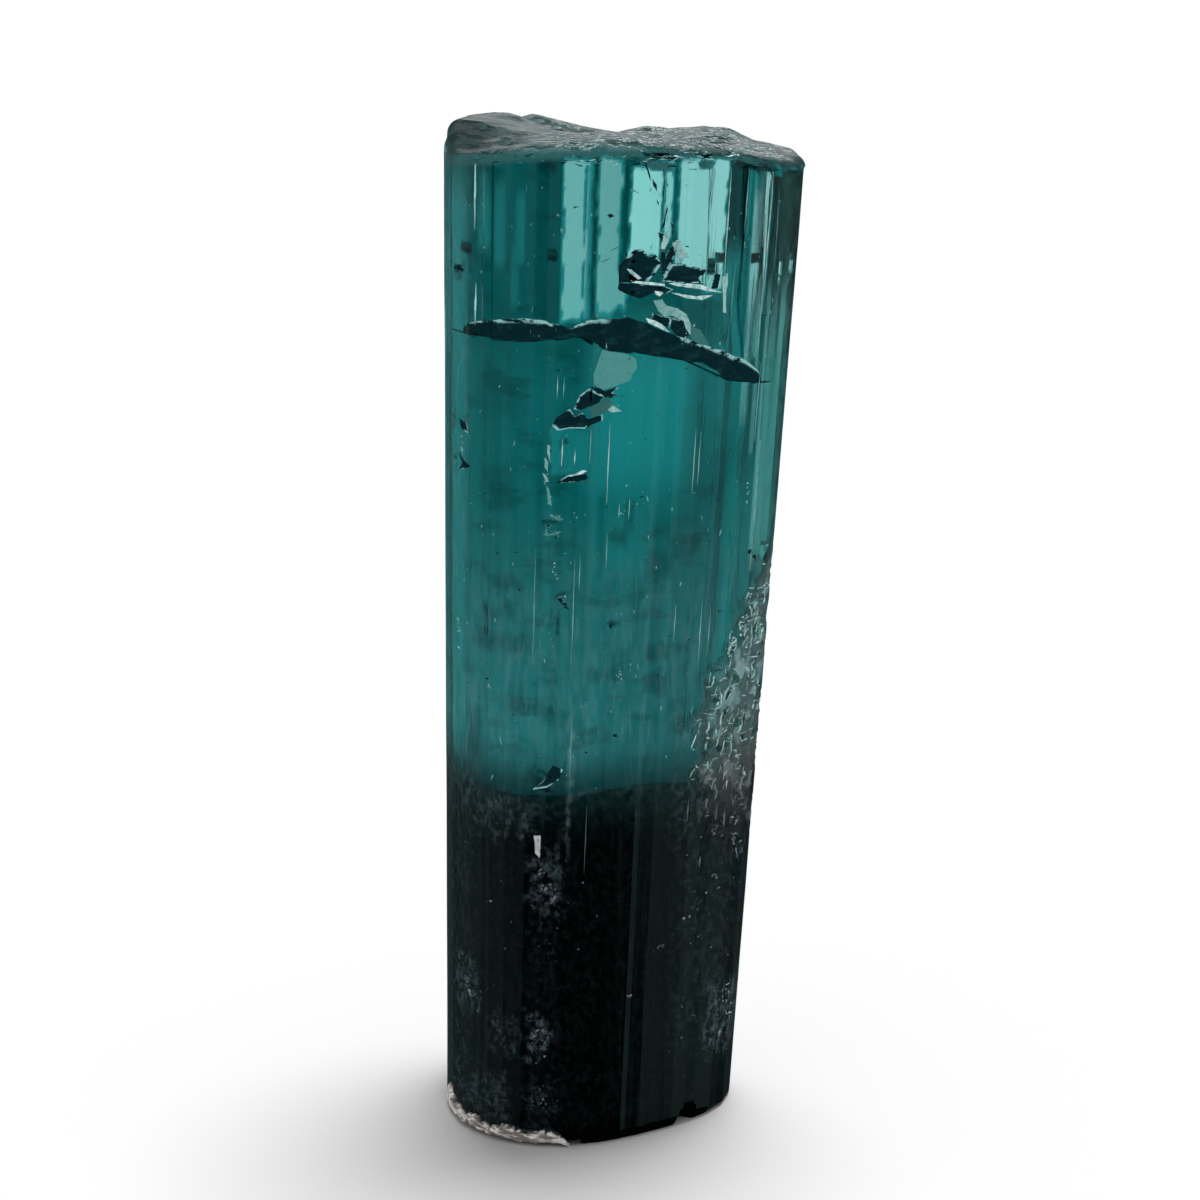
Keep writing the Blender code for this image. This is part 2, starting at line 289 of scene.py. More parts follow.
@dataclass
class Stone:
    """The prism placed where the CAD crystal stands, with the measures that every piece shares."""

    prism: Prism = field(default_factory=Prism)
    etched_edge: tuple[Pair, ...] = (
        (9.0, 5.0), (11.5, 4.3), (13.0, 3.7), (15.5, 3.7), (16.5, 4.2), (17.4, 4.8), (18.6, 5.2), (21.0, 5.5),
    )
    etch_size: float = 0.46
    etch_squash: float = 0.7
    etch_rim: float = 0.30
    etch_border: float = 0.9
    etch_low_fade: float = 3.0
    etch_high_fade: float = 2.0
    etch_farthest: float = 2.0
    etch_far_tear: float = 1.2
    etch_fade: float = 1.6
    offset: Vector = field(init=False)
    middle: Vector = field(init=False)
    ridges: list[Pair] = field(init=False)

    def __post_init__(self) -> None:
        """Work out the ridges and bring the prism over the CAD crystal."""
        self.middle = self.prism.middle()
        self.ridges = self.ridge_lines()
        self.offset = Vector((0.0, 0.0))
        self.offset = self.place_over_cad()

    def place_over_cad(self) -> Vector:
        """Shift that brings the middle of the ridges' box over the middle of the CAD crystal's box."""
        ends = (0.0, self.prism.height)
        share = {0.0: self.prism.lower_ridge_share, self.prism.height: 1.0}
        points = [self.side(degrees, z, out * share[z]) for degrees, out in self.ridges for z in ends]
        low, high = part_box("crystal")
        own_x = (min(point.x for point in points) + max(point.x for point in points)) / 2
        own_y = (min(point.y for point in points) + max(point.y for point in points)) / 2
        return Vector(((low.x + high.x) / 2 / MM - own_x, (low.y + high.y) / 2 / MM - own_y))

    def front_degrees(self, x: float) -> float:
        """Angle of the front point that lies x from the section's middle."""
        low, high = self.prism.left_degrees, self.prism.right_degrees
        for _ in range(30):
            half = (low + high) / 2
            if self.prism.section_point(half).x - self.middle.x < x:
                low = half
            else:
                high = half
        return (low + high) / 2

    def degrees_at(self, x: float, z: float) -> float:
        """Angle of the front point seen at x, at height z."""
        scale, shift = self.prism.taper(z)
        return self.front_degrees((x - shift - self.offset.x) / scale)

    def ridge_lines(self) -> list[Pair]:
        """Every ridge down the prism as an angle and the distance it stands out, in order."""
        prism = self.prism
        ridges = [(self.front_degrees(x), out) for x, out in prism.front_ridges]
        start = ridges[-1][0]
        span = ridges[0][0] + 360.0 - start
        for index in range(1, prism.back_ridges):
            place = index + prism.back_unevenness * math.sin(2.4 * index)
            out = prism.back_ridge_height * math.sin(2.2 * index)
            ridges.append((start + span * place / prism.back_ridges, out))
        return ridges

    def side(self, degrees: float, z: float, out: float = 0.0) -> Vector:
        """Point on the prism's side at an angle and a height, in millimetres."""
        scale, shift = self.prism.taper(z)
        flat = (self.prism.section_point(degrees, out) - self.middle) * scale
        return Vector((flat.x + shift + self.offset.x, flat.y + self.offset.y, z))

    def outward(self, degrees: float, z: float) -> Vector:
        """Level direction that points straight out of the side."""
        ahead = self.side(degrees + 1.0, z) - self.side(degrees - 1.0, z)
        return Vector((ahead.y, -ahead.x, 0.0)).normalized()

    def untapered(self, point: Vector) -> Pair:
        """Place of a point across and into the prism, as if it had no taper."""
        scale, shift = self.prism.taper(point.z)
        return (point.x - shift) / scale, point.y / scale

    def etch_amount(self, across: float, z: float) -> float:
        """How etched the front is at a place, from 0 to 1."""
        left = between(self.etched_edge, z)
        coarse = noise.noise(Vector((0.9 * across, 0.0, 0.9 * z)))
        fine = noise.noise(Vector((across, 5.0, z)) * 2.6)
        torn = 0.5 * coarse + 0.3 * fine
        low, high = self.etched_edge[0][0], self.etched_edge[-1][0]
        ends = smooth_step(min((z - low) / self.etch_low_fade, (high - z) / self.etch_high_fade))
        return smooth_step((across - left + torn) / self.etch_border + 0.3) * ends

    def etch_at(self, point: Vector) -> tuple[float, float, float]:
        """State of the skin at a point.

        Args:
            point: Place in millimetres.

        Returns:
            How etched it is, how near to the raised edge of a pit, each 0 to 1, and the painted light and
            shade of its face from -1 to 1, drawn for each pit to stand for the light that its facet catches.
        """
        across, deep = self.untapered(point)
        if deep > self.etch_farthest or not self.etched_edge[0][0] < point.z < self.etched_edge[-1][0]:
            return 0.0, 0.0, 0.0
        reach = self.etch_far_tear * noise.noise(point * 0.8) - deep
        amount = self.etch_amount(across, point.z) * smooth_step(0.5 + reach / self.etch_fade)
        if amount < 0.01:
            return 0.0, 0.0, 0.0
        size = self.etch_size
        place = Vector((point.x / size, point.y / size, self.etch_squash * point.z / size))
        distances, pits = noise.voronoi(place)
        edge = 1.0 - smooth_step((distances[1] - distances[0]) / self.etch_rim)
        return amount, edge, noise.cell(pits[0] * 9.1) * 2.0 - 1.0

    def crack_height(self, degrees: float) -> float:
        """Height at which the main fracture meets the side."""
        return between(self.prism.fracture, (self.prism.section_point(degrees) - self.middle).x)

    def rim_width(self, degrees: float) -> float:
        """Distance over which the top's rim is rounded off, wider in front."""
        prism = self.prism
        start, end = prism.front_rim_degrees
        front = smooth_step(min(degrees - start, end - degrees) / prism.front_rim_fade)
        return prism.rim_width + (prism.front_rim_width - prism.rim_width) * front

    def foot_wear(self, degrees: float) -> float:
        """Height of the worn rim at the foot."""
        prism = self.prism
        start, end = prism.foot_wear_degrees
        inside = max(0.0, min(1.0, min(degrees - start, end - degrees) / prism.foot_wear_fade))
        ripple = 0.5 + 0.5 * tear_along(degrees, prism.foot_layers)
        own = prism.foot_rim_height * (0.6 + 0.4 * ripple) + prism.foot_front_wear * inside
        share = self.rind_share(degrees)
        return own + (self.rind_top(degrees) + prism.rind_gap - own) * share

    def rind_share(self, degrees: float) -> float:
        """1 where the pale rind clings under the rim, 0 past its ends."""
        start, end = self.prism.rind_degrees
        fade = self.prism.rind_foot_fade
        return smooth_step(min(degrees - start + fade, end + fade - degrees) / fade)

    def rind_top(self, degrees: float) -> float:
        """Height of the rind's torn top edge."""
        prism = self.prism
        start, end = prism.rind_degrees
        rise = prism.rind_left_rise * math.exp(-((max(degrees - start, 0.0) / prism.rind_left_spread) ** 2))
        torn = prism.rind_raggedness * tear_along(degrees, prism.rind_layers)
        fade = smooth_step(min(degrees - start, end - degrees) / prism.rind_end_fade)
        share = prism.rind_end_share + (1.0 - prism.rind_end_share) * fade
        return (prism.rind_height + torn + rise) * share


@dataclass(frozen=True)
class Chip:
    """Broken hollow in the side: its place, half sizes, depth and lean."""

    place: float
    height: float
    half_width: float
    half_height: float
    depth: float
    lean_degrees: float = 0.0


FRONT_CHIPS = (
    Chip(-5.55, 30.45, 0.30, 0.22, 0.13, 20.0), Chip(-5.72, 25.20, 0.20, 0.42, 0.12, 4.0),
    Chip(-5.75, 23.90, 0.17, 0.22, 0.10), Chip(-0.30, 18.80, 0.26, 0.16, 0.12),
    Chip(4.95, 20.60, 0.26, 0.30, 0.14, 10.0), Chip(-2.43, 22.30, 0.36, 0.22, 0.10, 35.0),
    Chip(-2.10, 19.70, 0.20, 0.34, 0.10, -25.0), Chip(-1.95, 24.60, 0.16, 0.90, 0.12),
    Chip(-2.70, 13.40, 0.46, 0.30, 0.14, -40.0), Chip(-2.95, 11.00, 0.17, 0.42, 0.12, 8.0),
    Chip(-2.90, 8.60, 0.20, 0.70, 0.09, 5.0), Chip(-5.65, 4.90, 0.22, 0.60, 0.12, 3.0),
    Chip(-3.20, 4.20, 0.34, 0.60, 0.12, -8.0), Chip(3.75, 4.30, 0.24, 0.70, 0.12, 6.0),
    Chip(2.40, 0.10, 0.66, 0.55, 0.45), Chip(1.25, 34.45, 0.80, 0.30, 0.16, -8.0),
    Chip(2.80, 34.40, 0.50, 0.24, 0.12, 5.0), Chip(5.25, 34.00, 0.42, 0.36, 0.30),
)
BACK_CHIPS = (
    Chip(150.0, 33.9, 0.70, 0.45, 0.30, 10.0), Chip(75.0, 30.2, 0.40, 0.55, 0.16, 15.0),
    Chip(110.0, 17.5, 0.35, 0.80, 0.14, -6.0), Chip(40.0, 9.0, 0.30, 0.60, 0.13, 8.0),
    Chip(95.0, 0.3, 0.80, 0.55, 0.45), Chip(165.0, 12.2, 0.22, 0.45, 0.10),
)


@dataclass
class CrystalSkin:
    """The crystal's outer skin: a closed mesh with flat ridges, fine grooves and a shell-like broken top."""

    stone: Stone
    windows: tuple[Mark, ...] = ()
    window_calm: float = 0.2
    chip_slope: float = 1.8
    chip_reach: float = 1.4
    chip_tear: float = 0.30
    front_spacing: float = 0.088
    back_spacing: float = 0.26
    lower_rows: tuple[Pair, ...] = ((0.0, 0.0), (0.21, 0.31), (0.77, 0.70), (1.0, 1.0))
    lower_count: int = 204
    upper_count: int = 54
    top_rings: int = 36
    groove_relief: float = 0.015
    groove_rates: Pair = (1.9, 0.05)
    fine_relief: float = 0.006
    fine_rates: Pair = (4.6, 0.12)
    drift: float = 0.014
    drift_rate: float = 0.16
    foot_ridge_share: float = 0.45
    foot_ridge_heights: Pair = (11.5, 14.5)
    full_ridge_heights: Pair = (27.0, 30.0)
    etch_depth: float = 0.11
    top_edge_reach: float = 0.80
    top_edge_fade: float = 0.16
    top_rise: float = 0.09
    shell_relief: float = 0.26
    shell_size: float = 2.1
    chip_relief: float = 0.05
    chip_size: float = 0.7
    rim_turns: tuple[float, ...] = (15.0, 30.0, 45.0, 60.0, 75.0)

    def __post_init__(self) -> None:
        """Bring every chip to its angle on the side."""
        front = [replace(chip, place=self.stone.degrees_at(chip.place, chip.height)) for chip in FRONT_CHIPS]
        self.chips = front + list(BACK_CHIPS)

    def dent(self, degrees: float, z: float) -> float:
        """Depth of the chips at a place on the side."""
        deepest = 0.0
        for chip in self.chips:
            high = z - chip.height
            if abs(high) > self.chip_reach * max(chip.half_height, chip.half_width):
                continue
            across = math.radians((degrees - chip.place + 180.0) % 360.0 - 180.0) * self.stone.prism.radius
            lean = math.radians(chip.lean_degrees)
            wide = (across * math.cos(lean) + high * math.sin(lean)) / chip.half_width
            tall = (high * math.cos(lean) - across * math.sin(lean)) / chip.half_height
            ragged = self.chip_tear * noise.noise(Vector((3.0 * across, 3.0 * high, chip.height)))
            inside = 1.0 - math.hypot(wide, tall) + ragged
            if inside > 0.0:
                deepest = max(deepest, chip.depth * min(1.0, self.chip_slope * inside))
        return deepest

    def calm_at(self, point: Vector) -> float:
        """Share of the relief that is left at a point: little in the clear windows."""
        across, deep = self.stone.untapered(point)
        inside = deep < 0.0 and any(window.left < across < window.right and point.z > window.low
                                    for window in self.windows)
        return self.window_calm if inside else 1.0

    def columns(self) -> list[Column]:
        """Every column of points as the ridges on its two sides and its share of the way between them."""
        ridges = self.stone.ridges
        found = []
        for index, (degrees, _) in enumerate(ridges):
            following = (index + 1) % len(ridges)
            gap = (ridges[following][0] - degrees) % 360.0
            front = following < len(self.stone.prism.front_ridges) and following > 0
            spacing = self.front_spacing if front else self.back_spacing
            pieces = max(1, round(math.radians(gap) * self.stone.prism.radius / spacing))
            found += [(index, following, step / pieces) for step in range(pieces)]
        return found

    def ridge_out(self, index: int, z: float) -> float:
        """Distance that a ridge stands out at a height, which drifts a little along the ridge."""
        _, out = self.stone.ridges[index]
        low = self.foot_ridge_share + (1.0 - self.foot_ridge_share) * rise_over(z, self.foot_ridge_heights)
        faint = self.stone.prism.lower_ridge_share * low
        share = faint + (1.0 - faint) * rise_over(z, self.full_ridge_heights)
        wander = self.drift * noise.noise(Vector((index * 3.7, self.drift_rate * z, 5.0)))
        return out * share + min(wander, 0.0)

    def grooves(self, point: Vector, z: float, rates: Pair, depth: float) -> float:
        """Depth of the upright grooves at a point.

        Args:
            point: Place on the side.
            z: Its height.
            rates: How fast they change round the prism and along it.
            depth: Their greatest depth.

        Returns:
            The depth there, in millimetres.
        """
        around, upright = rates
        return depth * abs(noise.noise(Vector((around * point.x, around * point.y, upright * z))))

    def side_point(self, column: Column, z: float, dip: float = 0.0) -> Vector:
        """Point of the skin on the side.

        Args:
            column: The ridges on its two sides and its share of the way between them.
            z: Height.
            dip: How far it is pressed in, for the fracture's groove.

        Returns:
            The point, in millimetres.
        """
        first, second, share = column
        start = self.stone.side(self.stone.ridges[first][0], z, self.ridge_out(first, z) - dip)
        end = self.stone.side(self.stone.ridges[second][0], z, self.ridge_out(second, z) - dip)
        point = start.lerp(end, share)
        relief = self.grooves(point, z, self.groove_rates, self.groove_relief)
        relief += self.grooves(point, z, self.fine_rates, self.fine_relief)
        relief = relief * self.calm_at(point) + self.etch_depth * self.etching(point)
        degrees = self.stone.ridges[first][0]
        degrees += (self.stone.ridges[second][0] - degrees) % 360.0 * share
        relief += self.dent(degrees, z)
        flat = Vector((point.x - self.stone.offset.x, point.y, 0.0)).normalized()
        return point - flat * relief

    def etching(self, point: Vector) -> float:
        """Share of the full depth to which a point of the etched patch is eaten away."""
        amount, edge, _ = self.stone.etch_at(point)
        return amount * (1.0 - edge)

    def top_height(self, x: float, y: float) -> float:
        """Height of the broken top above a point."""
        prism = self.stone.prism
        degrees = math.degrees(math.atan2(y, x))
        if degrees < prism.top_rim[0][0]:
            degrees += 360.0
        rim = between(prism.top_rim, degrees)
        reach = math.hypot(x, y) / prism.radius
        outward = smooth_step((reach - prism.top_middle_share) / (1.0 - prism.top_middle_share))
        height = prism.top_middle + (rim - prism.top_middle) * outward
        for lump_x, lump_y, rise, spread in prism.top_lumps:
            height += rise * math.exp(-((math.hypot(x - lump_x, y - lump_y) / spread) ** 2))
        inward = 1.0 - smooth_step((reach - self.top_edge_reach) / self.top_edge_fade)
        shells = abs(noise.noise(Vector((x / self.shell_size, y / self.shell_size, 4.0))))
        chips = abs(noise.noise(Vector((x / self.chip_size, y / self.chip_size, 9.0))))
        return height + (self.top_rise - self.shell_relief * shells) * inward - self.chip_relief * chips

    def column_points(self, column: Column) -> list[Vector]:
        """All points of one column, from the foot's rim up and in to the middle of the top."""
        stone = self.stone
        prism = stone.prism
        first, second, share = column
        gap = (stone.ridges[second][0] - stone.ridges[first][0]) % 360.0
        degrees = stone.ridges[first][0] + gap * share
        crack = stone.crack_height(degrees)
        start, end = prism.fracture_degrees
        groove = prism.fracture_groove if start <= degrees % 360.0 <= end else 0.0
        wear = stone.foot_wear(degrees % 360.0)
        foot = self.side_point(column, 0.0)
        centre = Vector((prism.foot_shift + stone.offset.x, stone.offset.y, 0.0))
        rim = self.side_point(column, prism.height).to_2d()
        rounding = prism.rim_rounding
        width = stone.rim_width(degrees % 360.0)
        rim_height = self.top_height(rim.x, rim.y) - rounding
        half = prism.fracture_half_width
        inset = prism.foot_inset - prism.rind_depth / prism.radius * stone.rind_share(degrees % 360.0)
        lower = [between(self.lower_rows, row / self.lower_count) for row in range(self.lower_count + 1)]
        upper = [row / self.upper_count for row in range(self.upper_count + 1)]
        points = [centre.lerp(foot, inset)]
        points += self.run(column, wear, crack - half, lower)
        points.append(self.side_point(column, crack, groove))
        points += self.run(column, crack + half, rim_height, upper)
        for turn in map(math.radians, self.rim_turns):
            share = 1.0 - width * (1.0 - math.cos(turn)) / rim.length
            points.append(Vector((rim.x * share, rim.y * share, rim_height + rounding * math.sin(turn))))
        edge = 1.0 - width / prism.radius
        for ring in range(self.top_rings + 1):
            reach = edge * (1.0 - ring / self.top_rings)
            x, y = rim.x * reach, rim.y * reach
            points.append(Vector((x, y, self.top_height(x, y))))
        return points

    def run(self, column: Column, low: float, high: float, shares: list[float]) -> list[Vector]:
        """Points of a column at the given shares of the way between two heights."""
        return [self.side_point(column, low + (high - low) * share) for share in shares]

    def build(self) -> bpy.types.Object:
        """Bend a grid round into the skin and close it.

        Returns:
            The closed skin.
        """
        columns = [self.column_points(column) for column in self.columns()]
        rows = len(columns[0])
        bpy.ops.object.select_all(action="DESELECT")
        bpy.ops.mesh.primitive_grid_add(x_subdivisions=len(columns), y_subdivisions=rows - 1, size=1.0)
        skin = bpy.context.object
        skin.name = "crystal_skin"
        across = len(columns) + 1
        for index, vertex in enumerate(skin.data.vertices):
            vertex.co = columns[index % across % len(columns)][index // across] * MM
        close_mesh(merge=0.0001)
        return skin


Socket = bpy.types.NodeSocket
Value = Socket | float | tuple
Spot = bpy.types.NodeOutputs


class NodeSheet:
    """Short hand for laying out and joining the nodes of one tree."""

    def __init__(self, tree: bpy.types.NodeTree) -> None:
        """Keep the tree that the nodes go into."""
        self.tree = tree

    def add(self, kind: str, inputs: dict[str, Value] | None = None, **settings: object) -> bpy.types.Node:
        """Add a node.

        Args:
            kind: Blender's name for the node type.
            inputs: Value or joined socket for each named input.
            **settings: Properties of the node.

        Returns:
            The node.
        """
        node = self.tree.nodes.new(kind)
        for key, value in settings.items():
            setattr(node, key, value)
        for name, value in (inputs or {}).items():
            self.put(value, node.inputs[name])
        return node

    def put(self, value: Value, socket: Socket) -> None:
        """Join a socket to an input, or set the input's own value."""
        if isinstance(value, Socket):
            self.tree.links.new(value, socket)
        else:
            socket.default_value = value

    def math(self, operation: str, *values: Value, clamp: bool = False) -> Socket:
        """Result of a Math node on one to three values."""
        node = self.add("ShaderNodeMath", operation=operation, use_clamp=clamp)
        for index, value in enumerate(values):
            self.put(value, node.inputs[index])
        return node.outputs[0]

    def ease(self, value: Value, low: Value, high: Value, start: Value = 0.0, end: Value = 1.0) -> Socket:
        """Value eased from start to end while it goes from low to high."""
        names = ("Value", "From Min", "From Max", "To Min", "To Max")
        inputs = dict(zip(names, (value, low, high, start, end)))
        return self.add("ShaderNodeMapRange", inputs, interpolation_type="SMOOTHSTEP").outputs["Result"]

    def join(self, x: Value, y: Value, z: Value) -> Socket:
        """Vector of three values."""
        return self.add("ShaderNodeCombineXYZ", {"X": x, "Y": y, "Z": z}).outputs[0]

    def stretch(self, vector: Socket, *scale: float) -> Socket:
        """Vector multiplied by three numbers."""
        node = self.add("ShaderNodeVectorMath", operation="MULTIPLY")
        self.put(vector, node.inputs[0])
        self.put(scale, node.inputs[1])
        return node.outputs[0]

    def noise(self, vector: Socket, scale: Value, detail: float = 2.0, rough: float = 0.5) -> Socket:
        """Soft noise from 0 to 1."""
        inputs = {"Vector": vector, "Scale": scale, "Detail": detail, "Roughness": rough}
        return self.add("ShaderNodeTexNoise", inputs).outputs["Fac"]

    def mix(self, factor: Value, first: Value, second: Value, blend: str = "MIX") -> Socket:
        """Mix of two colours."""
        node = self.add("ShaderNodeMix", data_type="RGBA", blend_type=blend)
        self.put(factor, node.inputs["Factor"])
        self.put(first, node.inputs[6])
        self.put(second, node.inputs[7])
        return node.outputs[2]

    def mix_values(self, factor: Value, first: Value, second: Value) -> Socket:
        """Mix of two numbers."""
        inputs = {"Factor": factor, "A": first, "B": second}
        return self.add("ShaderNodeMix", inputs, data_type="FLOAT").outputs["Result"]

    def dim(self, colour: Value, share: Socket) -> Socket:
        """Colour multiplied by a number."""
        return self.mix(1.0, colour, self.join(share, share, share), "MULTIPLY")

    def bump(self, pattern: Socket, strength: float, height: float) -> Socket:
        """Normal that follows a pattern of the given height in millimetres."""
        inputs = {"Height": pattern, "Strength": strength, "Distance": height * MM}
        return self.add("ShaderNodeBump", inputs).outputs[0]

    def mark(self, name: str) -> Socket:
        """Strength of the marks that the piece keeps in an attribute."""
        return self.add("ShaderNodeAttribute", attribute_name=name).outputs["Fac"]

    def group(self, tree: bpy.types.NodeTree, **inputs: Value) -> bpy.types.Node:
        """Place a node group and join its named inputs."""
        node = self.add("ShaderNodeGroup", node_tree=tree)
        for name, value in inputs.items():
            self.put(value, node.inputs[name])
        return node


def start_material(name: str) -> tuple[bpy.types.Material, NodeSheet, bpy.types.Node]:
    """Begin a material.

    Args:
        name: Name of the material.

    Returns:
        The material, a sheet for its nodes and its Principled shader.
    """
    made = bpy.data.materials.new(name)
    made.use_nodes = True
    return made, NodeSheet(made.node_tree), made.node_tree.nodes["Principled BSDF"]


def start_group(name: str, inputs: dict[str, float | None], outputs: tuple[str, ...]) -> tuple:
    """Begin a shader node group.

    Args:
        name: Name of the group.
        inputs: Starting value of each input, or None for a vector.
        outputs: Name of each output, all of them numbers, or vectors where the name is Place.

    Returns:
        The group's tree, a sheet for its nodes, its input sockets by name and its output node.
    """
    tree = bpy.data.node_groups.new(name, "ShaderNodeTree")
    for key, value in inputs.items():
        kind = "NodeSocketVector" if value is None else "NodeSocketFloat"
        socket = tree.interface.new_socket(key, in_out="INPUT", socket_type=kind)
        if value is not None:
            socket.default_value = value
    for key in outputs:
        kind = "NodeSocketVector" if key == "Place" else "NodeSocketFloat"
        tree.interface.new_socket(key, in_out="OUTPUT", socket_type=kind)
    sheet = NodeSheet(tree)
    source = sheet.add("NodeGroupInput")
    return tree, sheet, source.outputs, sheet.add("NodeGroupOutput")


@dataclass
class Effects:
    """Node groups that the finishes share."""

    prism: Prism
    place: bpy.types.NodeTree = field(init=False)
    streaks: bpy.types.NodeTree = field(init=False)

    def __post_init__(self) -> None:
        """Build every group once."""
        self.place = self.place_group()
        self.streaks = self.streaks_group()

    def place_group(self) -> bpy.types.NodeTree:
        """Group that turns a point into its place on the untapered prism, in millimetres."""
        tree, sheet, source, result = start_group(
            "Section place", {"Position": None}, ("Across", "Deep", "Height", "Place"))
        millimetres = sheet.stretch(source["Position"], 1.0 / MM, 1.0 / MM, 1.0 / MM)
        x, y, z = sheet.add("ShaderNodeSeparateXYZ", {"Vector": millimetres}).outputs
        down = sheet.math("SUBTRACT", 1.0, sheet.math("DIVIDE", z, self.prism.height))
        scale = sheet.math("SUBTRACT", 1.0, sheet.math("MULTIPLY", down, 1.0 - self.prism.foot_scale))
        shift = sheet.math("MULTIPLY", down, self.prism.foot_shift)
        across = sheet.math("DIVIDE", sheet.math("SUBTRACT", x, shift), scale)
        deep = sheet.math("DIVIDE", y, scale)
        sheet.put(across, result.inputs["Across"])
        sheet.put(deep, result.inputs["Deep"])
        sheet.put(z, result.inputs["Height"])
        sheet.put(sheet.join(across, deep, z), result.inputs["Place"])
        return tree

    def streaks_group(self) -> bpy.types.NodeTree:
        """Group for thin upright lines that come and go along the prism."""
        names = {"Place": None, "Fineness": 6.0, "Length": 3.0, "Amount": 0.3, "Softness": 0.1}
        tree, sheet, source, result = start_group("Upright streaks", names, ("Mask",))
        rate = sheet.math("DIVIDE", 1.0, sheet.math("MULTIPLY", source["Length"], source["Fineness"]))
        scaled = sheet.add("ShaderNodeVectorMath", operation="MULTIPLY")
        sheet.put(source["Place"], scaled.inputs[0])
        sheet.put(sheet.join(1.0, 1.0, rate), scaled.inputs[1])
        value = sheet.noise(scaled.outputs[0], source["Fineness"], detail=1.5)
        low = sheet.math("SUBTRACT", sheet.math("SUBTRACT", 1.0, source["Amount"]), source["Softness"])
        sheet.put(sheet.ease(value, low, sheet.math("ADD", low, source["Softness"])), result.inputs["Mask"])
        return tree

    def spot(self, sheet: NodeSheet) -> Spot:
        """Place the place group in a material and read the surface point's own place.

        Args:
            sheet: Sheet of the material.

        Returns:
            The group's outputs Across, Deep, Height and Place.
        """
        source = sheet.add("ShaderNodeTexCoord").outputs["Object"]
        return sheet.group(self.place, Position=source).outputs


